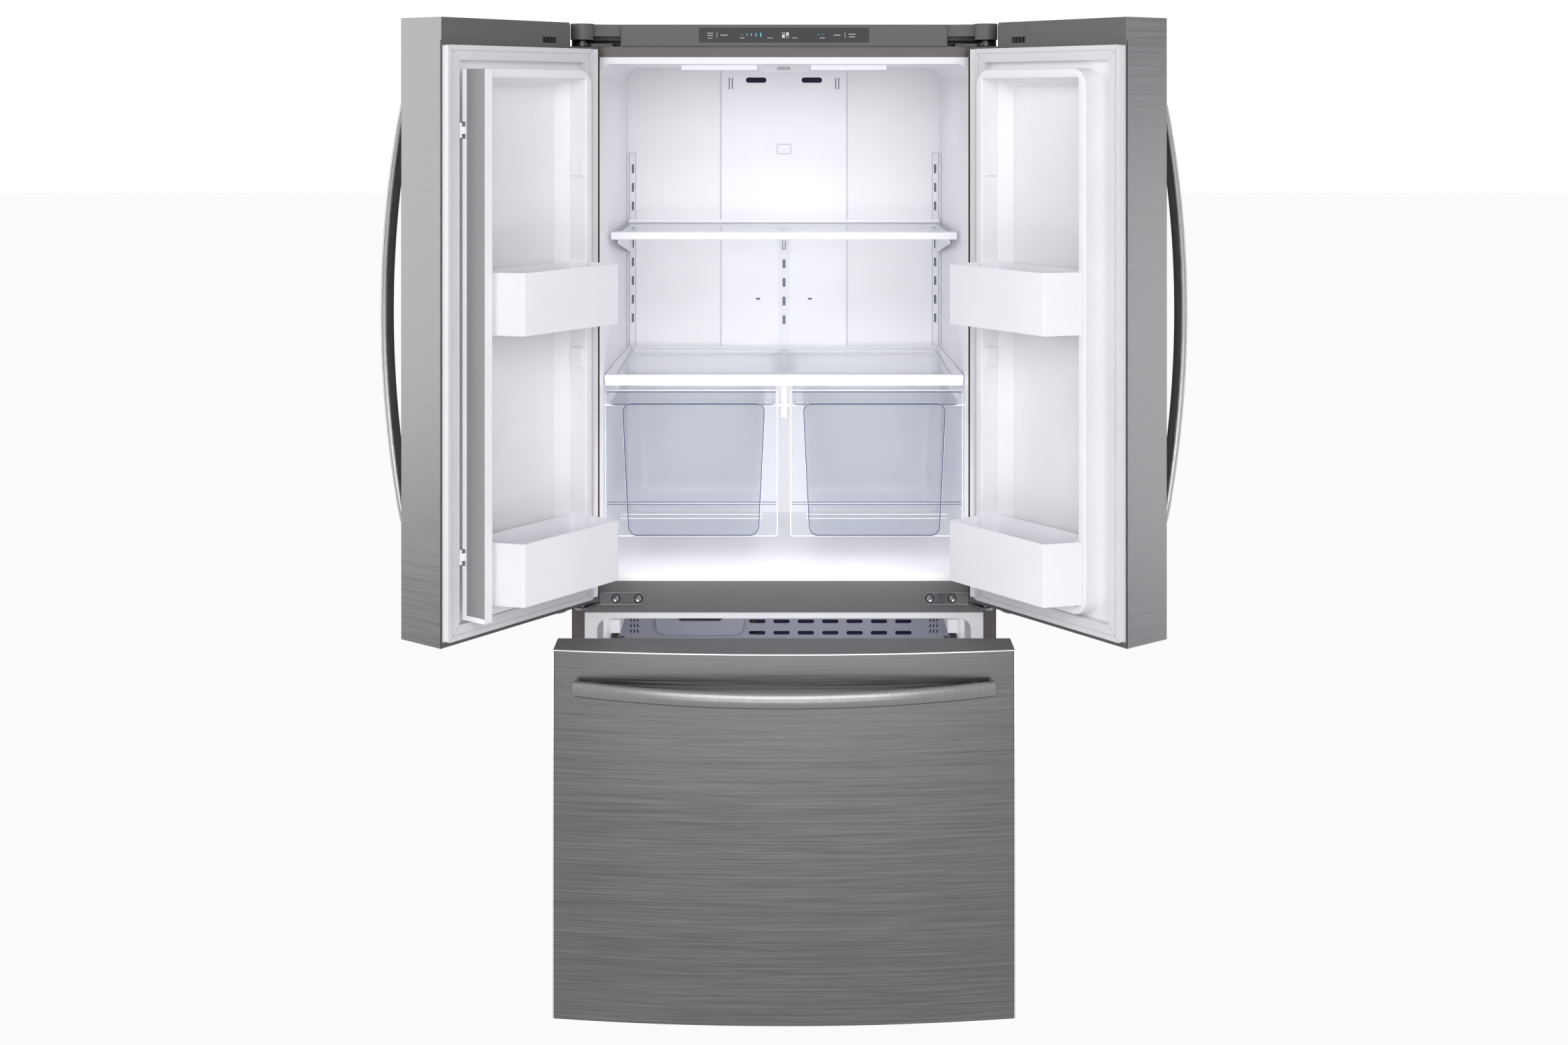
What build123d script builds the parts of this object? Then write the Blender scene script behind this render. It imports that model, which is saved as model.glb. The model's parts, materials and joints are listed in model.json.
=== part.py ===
from build123d import *
import math
import os

# French door refrigerator: two hinged doors over a pull-out freezer drawer.
# While the pieces are made, X runs to the right, Y runs from the cabinet's front plane (Y = 0)
# back into its depth, Z runs up from the floor. Each door is made closed and then swung open, and
# the drawer is made closed and then pulled out. The last step moves the origin to the middle of
# the bounding box.

# ---------------------------------------------------------------- driving sizes, millimetres
CASE_WIDTH = 756.0
CASE_DEPTH = 610.0
CASE_BOTTOM = 26.0
SHEET = 1.0  # painted steel of the case, stainless steel of the fronts
FLANGE = 23.0  # front return of the case's sides
LIP = 22.0  # plastic lip between that return and each cavity
LINER = 2.0  # wall of the vacuum-formed liners
BACK_WALL = 92.0  # foam and back panel behind the fridge space
CAVITY_DRAFT = 14.0  # each side wall leans in by this much at the back
FRIDGE_CORNER = 28.0
FREEZER_CORNER = 20.0

# heights, built up from the floor
FREEZER_FLOOR = 150.0
FREEZER_HEIGHT = 542.0
RAIL_UNDERLAP = 11.0  # white lip under the cross rail
RAIL_HEIGHT = 56.0
RAIL_OVERLAP = 13.0  # white lip over the cross rail
FRIDGE_HEIGHT = 908.0
ROOF = 70.0  # from the fridge ceiling to the case top

MACHINE_DEPTH = 230.0
MACHINE_HEIGHT = 230.0
MACHINE_WALL = 48.0
TRAY_THICKNESS = 3.0
TOP_COVER_DEPTH = 90.0
TOP_COVER_HEIGHT = 39.0
TOP_STRIP = 19.0  # bare steel strip between the top cover and the fridge lip

DOOR_GAP = 16.0  # cabinet front plane to the doors' inner faces
CENTRE_GAP = 4.0  # between the two closed doors
DOOR_LIFT = 29.0  # door bottom over the cross rail's bottom
FRONT_GAP = 16.5  # between the doors and the drawer front
DRAWER_SKIRT = 37.5  # drawer front below the freezer floor
FRONT_THICKNESS = 70.0  # of doors and drawer at the outer sides
FRONT_BULGE = 27.0  # more at the cabinet's middle
FRONT_CORNER = 3.5
HINGE_CORNER = 30.0
HINGE_INSET = 22.0  # hinge axis to the case's side
HINGE_FORWARD = 38.0  # hinge axis to the cabinet's front plane
DOOR_OPEN = 127.0  # degrees, as stored
DOOR_STOP = 130.0  # degrees, fully open
DRAWER_OUT = 195.0  # as stored
GASKET_WIDTH = 24.0
SEAL_GAP = 0.5
PIN_RADIUS = 5.0
PIN_PLAY = 0.05
RUNNING_GAP = 0.3

TOP_CAP = 45.0
BOTTOM_CAP = 9.0
LINER_INSET = 5.0
LINER_PLATE = 3.0
GASKET_HINGE_SIDE = 32.0
GASKET_FREE_SIDE = 2.0
DYKE_HEIGHT = 38.0
DYKE_WALL = 16.0
DYKE_HINGE_SIDE = 60.0  # from the door's hinge-side edge
DYKE_FREE_SIDE = 56.0  # from the door's free edge
DYKE_CORNER = 28.0
DYKE_ENDS = (4.0, 12.0)  # above the fridge floor, below its ceiling
PAN_DEPTH = 24.0  # the door's inner panel lies back inside the dyke
PAN_DRAFT = 14.0
LUG = (6.0, 22.0, 32.0)
LUG_HEIGHTS = (400.0, 730.0)  # above the fridge floor
STOP_TAB = (51.0, 21.0, 16.0, 13.0)  # from the hinge-side edge, width, depth, drop

FLAP_WIDTH = 50.0
FLAP_THICKNESS = 20.0
FLAP_REACH = 30.0  # how far the unfolded flap starts to the left of the middle
FLAP_PIVOT_BACK = 2.0  # pivot outside the flap's corner, in X and in Y
FLAP_MARGIN = 10.0  # white margin beside the steel face
FLAP_FOOT = 8.0
FLAP_ENDS = (3.0, 14.0)  # above the fridge floor, below its ceiling
FLAP_HINGE_ENDS = (104.0, 113.0)  # above the fridge floor, below its ceiling
FLAP_EYE = 2.6
FLAP_EYE_HALF = 6.0
FLAP_PIN = 1.5

BIN_DEPTH = 101.0
BIN_HEIGHT = 102.0
BIN_WALL = 3.5
BIN_GAP = 0.5
BIN_BACK_GAP = 1.0
BIN_LEAN = 24.0
LOWER_BIN_RISE = 24.0  # over the fridge floor
BIN_PITCH = 438.0
BIN_CLEARANCE = 11.0  # closed bins to the crisper cover

HANDLE_HEIGHT = 26.0
HANDLE_DEPTH = 15.0
HANDLE_STANDOFF = 12.0
HANDLE_POST_INSET = 26.0
HANDLE_POST_RADIUS = 7.0
HANDLE_POST_SINK = 6.0
DOOR_HANDLE_BOW = 48.0
DRAWER_HANDLE_BOW = 66.0
DOOR_HANDLE_LENGTH = 685.0
DOOR_HANDLE_RISE = 531.5  # its middle over the door's bottom
DOOR_HANDLE_INSET = 25.0
DRAWER_HANDLE_INSET = 37.0  # from the drawer front's sides
DRAWER_HANDLE_DROP = 58.0

CRISPER_ZONE = 340.0  # fridge floor to the top of the crisper cover
SHELF_RISE = 256.0  # crisper cover to the upper shelf
SHELF_SETBACK = 165.0
SHELF_SIDE_GAP = 6.0
SHELF_BACK_GAP = 34.0
SHELF_TRIM = (20.0, 14.0)
ARM_THICKNESS = 2.5
ARM_DROP = 46.0
GLASS = 4.0
COVER_HEIGHT = 19.0
COVER_PLATE = 11.0
COVER_BAR = 20.0
COVER_SIDE = 14.0
GLASS_BED = 5.0
CRISPER_RISE = 44.0  # crisper bottom over the fridge floor
CRISPER_DROP = 27.0  # crisper top below the cover's top
CRISPER_SIDE_GAP = 5.4
CRISPER_MIDDLE_GAP = 11.6
CRISPER_BACK_GAP = 22.0
CRISPER_SETBACK = 4.0  # behind the cover's front
CRISPER_WALL = 3.0
CRISPER_PANEL = 4.0
CRISPER_BODY_INSET = (30.0, 22.0)  # body's top inside the front panel, outer and inner side
CRISPER_LEAN = 11.5
CRISPER_CORNER = 17.0
CRISPER_RIB = 1.5
CRISPER_RIBS = (62.0, 58.5, 40.0, 32.5)  # ribs across the front, over its bottom
GRIP_DEPTH = 16.0
RIM_DROP = 24.0  # crisper rim below its front panel's top
RIM = 3.0
RIM_INSET = (9.0, 4.7)  # rim's edges inside the front panel, outer and inner side
RIM_OVERLAP = 6.0
CENTRE_POST = 8.0

FREEZER_BACK_GAP = 73.0  # air panel to the back of the freezer space
FAN_X = 169.0  # fan, left of the middle
FAN_DROP = 81.0  # fan axis below the freezer ceiling
FAN_RADIUS = 46.0
FAN_SHAFT = 3.0
FAN_COVER = (176.0, 135.0, 8.0)
EVAPORATOR_INSET = 103.0
OUTLET = (33.0, 7.6)
OUTLET_PITCH = (49.0, 23.0)
OUTLET_DROP = 152.0
TRAY_RAIL = (18.0, 25.0)
TRAY_RAIL_DROP = 101.0
BASKET_RISE = 36.0  # over the freezer floor
BASKET_DROP = 126.0  # below the freezer ceiling
BASKET_FRONT = 6.0
BASKET_BACK_GAP = 16.0
BASKET_SIDE_GAP = 23.0
BASKET_LEAN = 8.0
BASKET_CORNER = 22.0
BASKET_WALL = 3.0
BASKET_RIM = 3.7
SLIDE_START = 10.0
SLIDE_END_GAP = 15.0
SLIDE_DROP = 152.0  # slide bottom below the freezer ceiling
SLIDE_HEIGHT = 44.0
SLIDE_WIDTH = 14.0
SLIDE_METAL = 2.0
SLIDE_SEAL_GAP = 1.4
LEDGE_WIDTH = 8.0

HOUSING_PROUD = 6.0  # of the control housing, ahead of the cabinet front plane
COVER_END = 91.0  # seam between the control housing and a hinge cover, from the case's side
DISPLAY_WIDTH = 303.0
DISPLAY_HEIGHT = 26.7
DISPLAY_DEPTH = 2.0
DISPLAY_SINK = 0.2
HINGE_PLATE = 5.0
HINGE_BOSS = 14.0
HINGE_COVER_RADIUS = 20.0
HINGE_COVER_LIFT = 11.0
HINGE_POCKET = 54.0  # door cap cut away beside the hinge
SWING_GAP = 3.0  # kept between a swinging door and its hinge
CAP_SLOT = (108.0, 34.0, 10.0)  # slot in the door's cap: from the hinge-side edge, length, height
MID_PLATE = (91.0, 23.0, 3.0)
MID_PLATE_INSET = 84.0  # its middle from the case's side
MID_PLATE_RISE = 25.5  # its middle over the cross rail's bottom
MID_ARM = 4.0
MID_EYE = 12.0
SCREW_HEAD = 6.2
SCREW_SPACING = 40.0

DUCT_HALF = 129.0
DUCT_THICKNESS = 6.0
SLOT_PITCH = 38.2
SLOT_HEIGHT = 18.0
SLOT_START = 24.0
RAIL_WIDTH = 16.0
CENTRE_RAIL_WIDTH = 21.0
CORNER_RAIL_DROP = 172.0  # rail top below the fridge ceiling
CENTRE_RAIL_DROP = 16.0  # rail top below the upper shelf
LIGHT_FRONT = 118.0
LIGHT_SIZE = (100.0, 72.0, 12.0)
LIGHT_BEVEL = (11.0, 8.0)  # slanted lower corners of the light housing
LENS_END = 190.0
LENS_THICKNESS = 8.0

LEG_RADIUS = 6.0
LEG_FOOT = (20.0, 9.0)
LEG_SETBACK = 66.0
LEG_INSET = 26.0
ROLLER_RADIUS = 18.0
ROLLER_WIDTH = 20.0
ROLLER_INSET = 30.0
ROLLER_FROM_BACK = 44.0
AXLE_RADIUS = 4.0
COMPRESSOR_X = -150.0
COMPRESSOR_PLATE = (80.0, 74.0)  # half its length and half its depth
CONDENSER_X = (60.0, 280.0)
CONDENSER_ROWS = 30.0  # each row of tubes from the middle
CONDENSER_FINS = (40.0, 126.0)  # half their depth, their height

# ---------------------------------------------------------------- worked-out sizes
FREEZER_CEILING = FREEZER_FLOOR + FREEZER_HEIGHT
RAIL_BOTTOM = FREEZER_CEILING + RAIL_UNDERLAP
RAIL_TOP = RAIL_BOTTOM + RAIL_HEIGHT
FRIDGE_FLOOR = RAIL_TOP + RAIL_OVERLAP
FRIDGE_CEILING = FRIDGE_FLOOR + FRIDGE_HEIGHT
CASE_HEIGHT = FRIDGE_CEILING + ROOF
CAVITY_DEPTH = CASE_DEPTH - BACK_WALL
HALF = CASE_WIDTH / 2
CAVITY_HALF = HALF - FLANGE - LIP
TOP_NOTCH = CASE_HEIGHT - TOP_COVER_HEIGHT
MACHINE_FRONT = CASE_DEPTH - MACHINE_DEPTH
MACHINE_TOP = CASE_BOTTOM + MACHINE_HEIGHT
STEP_DEPTH = MACHINE_FRONT - MACHINE_WALL
STEP_TOP = MACHINE_TOP + MACHINE_WALL

DOOR_BOTTOM = RAIL_BOTTOM + DOOR_LIFT
DRAWER_TOP = DOOR_BOTTOM - FRONT_GAP
DRAWER_BOTTOM = FREEZER_FLOOR - DRAWER_SKIRT
HINGE_X = -(HALF - HINGE_INSET)  # of the left door
HINGE_Y = -HINGE_FORWARD
DOOR_WIDTH = HALF - CENTRE_GAP / 2
FREE_EDGE = -HALF + DOOR_WIDTH
INNER_FACE = -DOOR_GAP
FRONT_RADIUS = (HALF ** 2 + FRONT_BULGE ** 2) / (2 * FRONT_BULGE)
FRONT_CREST = INNER_FACE - FRONT_THICKNESS - FRONT_BULGE
ARC_CENTRE_Y = FRONT_CREST + FRONT_RADIUS
DYKE_X = (-HALF + DYKE_HINGE_SIDE, FREE_EDGE - DYKE_FREE_SIDE)
DYKE_Z = (FRIDGE_FLOOR + DYKE_ENDS[0], FRIDGE_CEILING - DYKE_ENDS[1])
LOWER_BIN = FRIDGE_FLOOR + LOWER_BIN_RISE
UPPER_BIN = LOWER_BIN + BIN_PITCH
FLAP_FRONT = -SHEET  # the flap's steel face, just behind the two gaskets
FLAP_PIVOT = (-FLAP_REACH - FLAP_PIVOT_BACK, FLAP_FRONT - FLAP_PIVOT_BACK)
FLAP_Z = (FRIDGE_FLOOR + FLAP_ENDS[0], FRIDGE_CEILING - FLAP_ENDS[1])
FLAP_HINGES = (FRIDGE_FLOOR + FLAP_HINGE_ENDS[0], FRIDGE_CEILING - FLAP_HINGE_ENDS[1])

DOOR_HANDLE_CENTRE = DOOR_BOTTOM + DOOR_HANDLE_RISE
DRAWER_HANDLE_LENGTH = CASE_WIDTH - 2 * DRAWER_HANDLE_INSET
HANDLE_ROOT = ARC_CENTRE_Y - math.sqrt(FRONT_RADIUS ** 2 - (DRAWER_HANDLE_LENGTH / 2) ** 2)
HANDLE_REACH = HANDLE_STANDOFF + DRAWER_HANDLE_BOW + HANDLE_DEPTH / 2
REACH = DRAWER_OUT - HANDLE_ROOT + HANDLE_REACH
ORIGIN_Y = (CASE_DEPTH - REACH) / 2

HOUSING_FRONT = -HOUSING_PROUD
COVER_SPLIT = HALF - COVER_END
DISPLAY_MIDDLE = CASE_HEIGHT - TOP_COVER_HEIGHT / 2 + 0.7
MID_PLATE_PLACE = (HALF - MID_PLATE_INSET, RAIL_BOTTOM + MID_PLATE_RISE)

COVER_TOP = FRIDGE_FLOOR + CRISPER_ZONE
COVER_SETBACK = INNER_FACE + BIN_DEPTH + BIN_CLEARANCE
SHELF_TOP = COVER_TOP + SHELF_RISE
DUCT_FRONT = CAVITY_DEPTH - DUCT_THICKNESS
RAIL_START = COVER_TOP + RUNNING_GAP
CORNER_RAIL_TOP = FRIDGE_CEILING - CORNER_RAIL_DROP
CENTRE_RAIL_TOP = SHELF_TOP - CENTRE_RAIL_DROP
CRISPER_BOTTOM = FRIDGE_FLOOR + CRISPER_RISE
CRISPER_TOP = COVER_TOP - CRISPER_DROP
CRISPER_OUTER = -CAVITY_HALF + CRISPER_SIDE_GAP
CRISPER_INNER = -CRISPER_MIDDLE_GAP
CRISPER_FRONT = COVER_SETBACK + CRISPER_SETBACK
CRISPER_BACK = CAVITY_DEPTH - CRISPER_BACK_GAP
CRISPER_RIM = (CRISPER_OUTER + RIM_INSET[0], CRISPER_INNER - RIM_INSET[1])
RIM_TOP = CRISPER_TOP - RIM_DROP

FREEZER_BACK = CAVITY_DEPTH - FREEZER_BACK_GAP
FAN_Z = FREEZER_CEILING - FAN_DROP
BASKET_BOTTOM = FREEZER_FLOOR + BASKET_RISE
BASKET_TOP = FREEZER_CEILING - BASKET_DROP
BASKET_BACK = STEP_DEPTH - BASKET_BACK_GAP
SLIDE_LOW = FREEZER_CEILING - SLIDE_DROP
SLIDE_LENGTH = FREEZER_BACK - SLIDE_END_GAP - SLIDE_START


# ---------------------------------------------------------------- helpers
def block(x, y, z):
    """A box between the (low, high) pairs x, y and z."""
    middle = Pos((x[0] + x[1]) / 2, (y[0] + y[1]) / 2, (z[0] + z[1]) / 2)
    return middle * Box(x[1] - x[0], y[1] - y[0], z[1] - z[0])


def plan_prism(points, z):
    """A prism with the plan outline points (x, y), between the heights z."""
    outline = make_face(Polyline(*points, close=True))
    return Pos(0, 0, z[0]) * extrude(outline, z[1] - z[0])


def side_prism(points, x):
    """A prism with the side outline points (y, z), between the places x."""
    outline = make_face(Polyline(*points, close=True))
    return extrude(Plane.YZ.offset(x[0]) * outline, x[1] - x[0])


def front_slab(width, z, y, radius):
    """A slab seen from the front as a rounded rectangle, middle X = 0, between the depths y."""
    plane = Plane(origin=(0, y[0], (z[0] + z[1]) / 2), x_dir=(1, 0, 0), z_dir=(0, 1, 0))
    return extrude(plane * RectangleRounded(width, z[1] - z[0], radius), y[1] - y[0])


def upright(radius, x, y, z):
    """A round bar along Z."""
    return Pos(x, y, (z[0] + z[1]) / 2) * Cylinder(radius, z[1] - z[0])


def crossbar(radius, x, y, z):
    """A round bar along X, between the places x."""
    return Pos((x[0] + x[1]) / 2, y, z) * Rot(0, 90, 0) * Cylinder(radius, x[1] - x[0])


def mirrored(shape):
    """The same piece on the cabinet's other side."""
    return mirror(shape, about=Plane.YZ)


def both_sides(shape):
    return [shape, mirrored(shape)]


def merged(shapes):
    """One solid made of the shapes."""
    total = shapes[0]
    for shape in shapes[1:]:
        total = total + shape
    return total


def save(name, *shapes):
    """Write one node, moved so that the origin is under the middle of the stored pose."""
    solids = [solid for shape in shapes for solid in shape.solids()]
    placed = [solid.moved(Location((0, -ORIGIN_Y, 0))) for solid in solids]
    export_step(placed[0] if len(placed) == 1 else Compound(placed), f"parts/{name}.step")


# ---------------------------------------------------------------- curved fronts
def front_y(x):
    """Depth of the bowed outer face at the place x."""
    return ARC_CENTRE_Y - math.sqrt(FRONT_RADIUS ** 2 - x ** 2)


def front_outline(x0, x1, radii):
    """Plan of a door or drawer front between x0 and x1, its front corners rounded by radii."""
    middle = (x0 + x1) / 2
    left = Line((x0, INNER_FACE), (x0, front_y(x0)))
    bow = ThreePointArc((x0, front_y(x0)), (middle, front_y(middle)), (x1, front_y(x1)))
    right = Line((x1, front_y(x1)), (x1, INNER_FACE))
    inner = Line((x1, INNER_FACE), (x0, INNER_FACE))
    face = Sketch() + make_face([left, bow, right, inner])
    for x, radius in ((x0, radii[0]), (x1, radii[1])):
        corner = face.vertices().sort_by_distance((x, front_y(x), 0))[0]
        face = fillet(corner, radius)
    return face


def front_prism(face, z):
    return Pos(0, 0, z[0]) * extrude(face, z[1] - z[0])


def front_skin(face, z):
    """Stainless sheet over the bowed face and its two side edges, open at the back."""
    inside = offset(face, amount=-SHEET)
    shell = front_prism(face, z) - front_prism(inside, z)
    backs = block((-HALF, HALF), (INNER_FACE - 2 * SHEET, INNER_FACE + SHEET), z)
    returns = shell & backs
    edge = face.bounding_box()
    keep = [
        block((x, x + SHEET), (INNER_FACE - 2 * SHEET, INNER_FACE), z)
        for x in (edge.min.X, edge.max.X - SHEET)
    ]
    return merged([shell - returns] + keep)


# ---------------------------------------------------------------- cabinet
def fridge_cavity(grow, depth):
    """The fridge space, with its side walls leaning in towards the back."""
    middle = (FRIDGE_FLOOR + FRIDGE_CEILING) / 2
    height = FRIDGE_CEILING - FRIDGE_FLOOR + 2 * grow
    lean = CAVITY_DRAFT * depth / CAVITY_DEPTH
    sections = []
    for y, half in ((0, CAVITY_HALF), (depth, CAVITY_HALF - lean)):
        plane = Plane(origin=(0, y, middle), x_dir=(1, 0, 0), z_dir=(0, 1, 0))
        sections.append(plane * RectangleRounded(2 * (half + grow), height, FRIDGE_CORNER + grow))
    return loft(sections)


def freezer_cavity(grow, start):
    """The freezer space, with the step over the machine room."""
    width = 2 * (CAVITY_HALF + grow)
    corner = FREEZER_CORNER + grow
    top = FREEZER_CEILING + grow
    low = front_slab(width, (FREEZER_FLOOR - grow, top), (start, STEP_DEPTH + grow), corner)
    high = front_slab(width, (STEP_TOP - grow, top), (start, CAVITY_DEPTH + grow), corner)
    return low + high


def make_case():
    """Painted steel wrap with front returns, a lowered top front and a back panel."""
    wide = (-HALF, HALF)
    outer = block(wide, (0, CASE_DEPTH - SHEET), (CASE_BOTTOM, CASE_HEIGHT))
    inner = block((-HALF + SHEET, HALF - SHEET), (SHEET, CASE_DEPTH), (0, CASE_HEIGHT - SHEET))
    window = block(
        (-HALF + FLANGE, HALF - FLANGE), (-SHEET, 2 * SHEET), (0, TOP_NOTCH - TOP_STRIP)
    )
    notch = block(wide, (-SHEET, TOP_COVER_DEPTH), (TOP_NOTCH, CASE_HEIGHT + SHEET))
    ledge = block(wide, (0, TOP_COVER_DEPTH + SHEET), (TOP_NOTCH - SHEET, TOP_NOTCH))
    riser = block(
        wide, (TOP_COVER_DEPTH, TOP_COVER_DEPTH + SHEET), (TOP_NOTCH - SHEET, CASE_HEIGHT)
    )
    case = outer - inner - window - notch + ledge + riser
    edges = case.edges().filter_by(Axis.Y).group_by(Axis.Z)[-1]
    save("outer_case", fillet(edges, SHEET * 0.9))
    panel = block((-HALF, HALF), (CASE_DEPTH - SHEET, CASE_DEPTH), (MACHINE_TOP, CASE_HEIGHT))
    save("rear_panels", panel, make_rear_cover())


def make_insulation():
    """Foam walls between the case and the liners, each a slab of its own."""
    skin = HALF - SHEET
    front = LINER
    back = CASE_DEPTH - SHEET
    edge = CAVITY_HALF + LINER
    behind = CAVITY_DEPTH + LINER
    side = plan_prism(
        [(skin, front), (edge, front), (edge - CAVITY_DRAFT, behind), (edge - CAVITY_DRAFT, back),
         (skin, back)],
        (FREEZER_CEILING + LINER, CASE_HEIGHT - SHEET),
    )
    side = side - block((0, HALF), (0, TOP_COVER_DEPTH + SHEET), (TOP_NOTCH - SHEET, CASE_HEIGHT))
    low_side = block((edge, skin), (front, back), (CASE_BOTTOM, FREEZER_CEILING + LINER))
    inner = edge - CAVITY_DRAFT
    across = (-inner, inner)
    wide = (-edge, edge)
    slabs = [
        block(across, (front, TOP_COVER_DEPTH + SHEET), (FRIDGE_CEILING + LINER, TOP_NOTCH - SHEET)),
        block(across, (TOP_COVER_DEPTH + SHEET, back), (FRIDGE_CEILING + LINER, CASE_HEIGHT - SHEET)),
        block(across, (behind, back), (FREEZER_CEILING + LINER, FRIDGE_CEILING + LINER)),
        block(across, (front, behind), (FREEZER_CEILING + LINER, FRIDGE_FLOOR - LINER)),
        block(wide, (behind, back), (STEP_TOP - LINER, FREEZER_CEILING + LINER)),
        block(wide, (STEP_DEPTH + LINER, back), (MACHINE_TOP, STEP_TOP - LINER)),
        block(wide, (STEP_DEPTH + LINER, MACHINE_FRONT), (FREEZER_FLOOR - MACHINE_WALL, MACHINE_TOP)),
        block(wide, (front, STEP_DEPTH + LINER), (FREEZER_FLOOR - MACHINE_WALL, FREEZER_FLOOR - LINER)),
    ]
    save("cabinet_insulation", *both_sides(low_side), *both_sides(side), *slabs)


def make_liners():
    """White formed liners of the two spaces, each with its flat front lip."""
    lip_half = HALF - FLANGE
    fridge = fridge_cavity(LINER, CAVITY_DEPTH + LINER)
    lip = block(
        (-lip_half, lip_half), (0, LINER), (RAIL_TOP, TOP_NOTCH - TOP_STRIP)
    )
    fridge = fridge + lip - fridge_cavity(0, CAVITY_DEPTH)
    save("fridge_liner", fridge)
    lip = block(
        (-lip_half, lip_half), (0, LINER), (FREEZER_FLOOR - LIP, RAIL_BOTTOM)
    )
    freezer = freezer_cavity(LINER, 0) + lip - freezer_cavity(0, -LINER)
    width, height = TRAY_RAIL
    low = FREEZER_CEILING - TRAY_RAIL_DROP
    tray_rail = block(
        (-CAVITY_HALF, -CAVITY_HALF + width), (STEP_DEPTH - 60, FREEZER_BACK - 17), (low, low + height)
    )
    save("freezer_liner", merged([freezer] + both_sides(tray_rail)))


def make_mid_rail():
    """Dark steel cross rail between the two spaces, a channel with its open side back."""
    half = HALF - FLANGE
    cover = block((-half, half), (-SHEET, LINER), (RAIL_BOTTOM, RAIL_TOP))
    hollow = block((-HALF, HALF), (0, HALF), (RAIL_BOTTOM + SHEET, RAIL_TOP - SHEET))
    save("mid_rail", cover - hollow)


# ---------------------------------------------------------------- top cover, display and hinges
def neck_plan(radius, inner_x, back):
    """Plan of a hinge arm: an eye round the hinge axis, joined to a foot behind."""
    eye = Pos(HINGE_X, HINGE_Y) * Circle(radius)
    foot = make_face(
        Polyline(
            (HINGE_X - radius, HINGE_Y), (HINGE_X + radius, HINGE_Y), (HINGE_X + radius, -12),
            (inner_x, 0), (inner_x, back), (HINGE_X - radius, back), close=True,
        )
    )
    return Sketch() + eye + foot


def make_top_cover():
    """Plastic cover across the top front: a middle housing with the display, a cover per hinge."""
    housing = block(
        (-COVER_SPLIT, COVER_SPLIT), (HOUSING_FRONT, TOP_COVER_DEPTH), (TOP_NOTCH, CASE_HEIGHT)
    )
    housing = fillet(housing.edges().filter_by(Axis.X).sort_by(Axis.Y)[:2], 2.5)
    window = front_slab(
        DISPLAY_WIDTH, (DISPLAY_MIDDLE - DISPLAY_HEIGHT / 2, DISPLAY_MIDDLE + DISPLAY_HEIGHT / 2),
        (HOUSING_FRONT - 1, HOUSING_FRONT + DISPLAY_DEPTH), 4,
    )
    behind = block((-HALF, HALF), (HOUSING_FRONT + DISPLAY_SINK, HALF), (0, CASE_HEIGHT))
    save("control_housing", housing - window)
    save("display_panel", window & behind)
    cover = extrude(
        neck_plan(HINGE_COVER_RADIUS, -COVER_SPLIT, TOP_COVER_DEPTH), TOP_COVER_HEIGHT - HINGE_COVER_LIFT
    )
    cover = Pos(0, 0, TOP_NOTCH + HINGE_COVER_LIFT) * cover
    zone = (TOP_NOTCH, CASE_HEIGHT)
    depth = (0, TOP_COVER_DEPTH)
    skirt = block((-COVER_SPLIT - 3, -COVER_SPLIT), (HOUSING_FRONT, TOP_COVER_DEPTH), zone)
    outer = block((-HALF, -HALF + 2), depth, zone)
    roof = block((-HALF, -COVER_SPLIT), depth, (CASE_HEIGHT - 4, CASE_HEIGHT))
    relief = side_prism(
        [(HINGE_Y, TOP_NOTCH), (20, TOP_NOTCH), (20, TOP_NOTCH + 18), (HINGE_Y, TOP_NOTCH + 18)],
        (HINGE_X + HINGE_COVER_RADIUS - 4, -COVER_SPLIT - 3),
    )
    save("hinge_covers", *both_sides(merged([cover - relief, roof, outer, skirt])))


def make_hinges():
    """Steel hinges: an arm on the case top with a pin down, one on the mid rail with a pin up."""
    arm = Pos(0, 0, TOP_NOTCH) * extrude(
        neck_plan(HINGE_BOSS, -COVER_SPLIT - 18, TOP_COVER_DEPTH - 15), HINGE_PLATE
    )
    top = TOP_NOTCH + HINGE_PLATE
    pin = upright(PIN_RADIUS, HINGE_X, HINGE_Y, (TOP_NOTCH - 22, top))
    head = upright(PIN_RADIUS + 3, HINGE_X, HINGE_Y, (top, top + 4))
    save("top_hinges", *both_sides(merged([arm, pin, head])))
    width, height, thick = MID_PLATE
    x, z = MID_PLATE_PLACE
    face = -SHEET - thick
    plate = front_slab(width, (z - height / 2, z + height / 2), (face, -SHEET), height / 2 - 0.5)
    plate = Pos(-x, 0, 0) * plate
    low = z - height / 2 + 2
    arm = Pos(0, 0, low) * extrude(mid_arm_plan(), MID_ARM)
    pin = upright(PIN_RADIUS, HINGE_X, HINGE_Y, (low, DOOR_BOTTOM + 14))
    fold = side_prism(
        [(face, low), (face, z + height / 2 - 2), (face - 2, z + height / 2 - 2), (face - 16, low)],
        (-x - width / 2 + 1, -x - width / 2 + 4),
    )
    head = Rot(90, 0, 0) * extrude(Circle(SCREW_HEAD) - RegularPolygon(2.6, 6), 2.2)
    heads = [Pos(-x - 5 + shift, face, z) * head for shift in (0, SCREW_SPACING)]
    pieces = [merged([plate, arm, pin, fold])] + heads
    save("mid_hinges", *[side for piece in pieces for side in both_sides(piece)])


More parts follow.
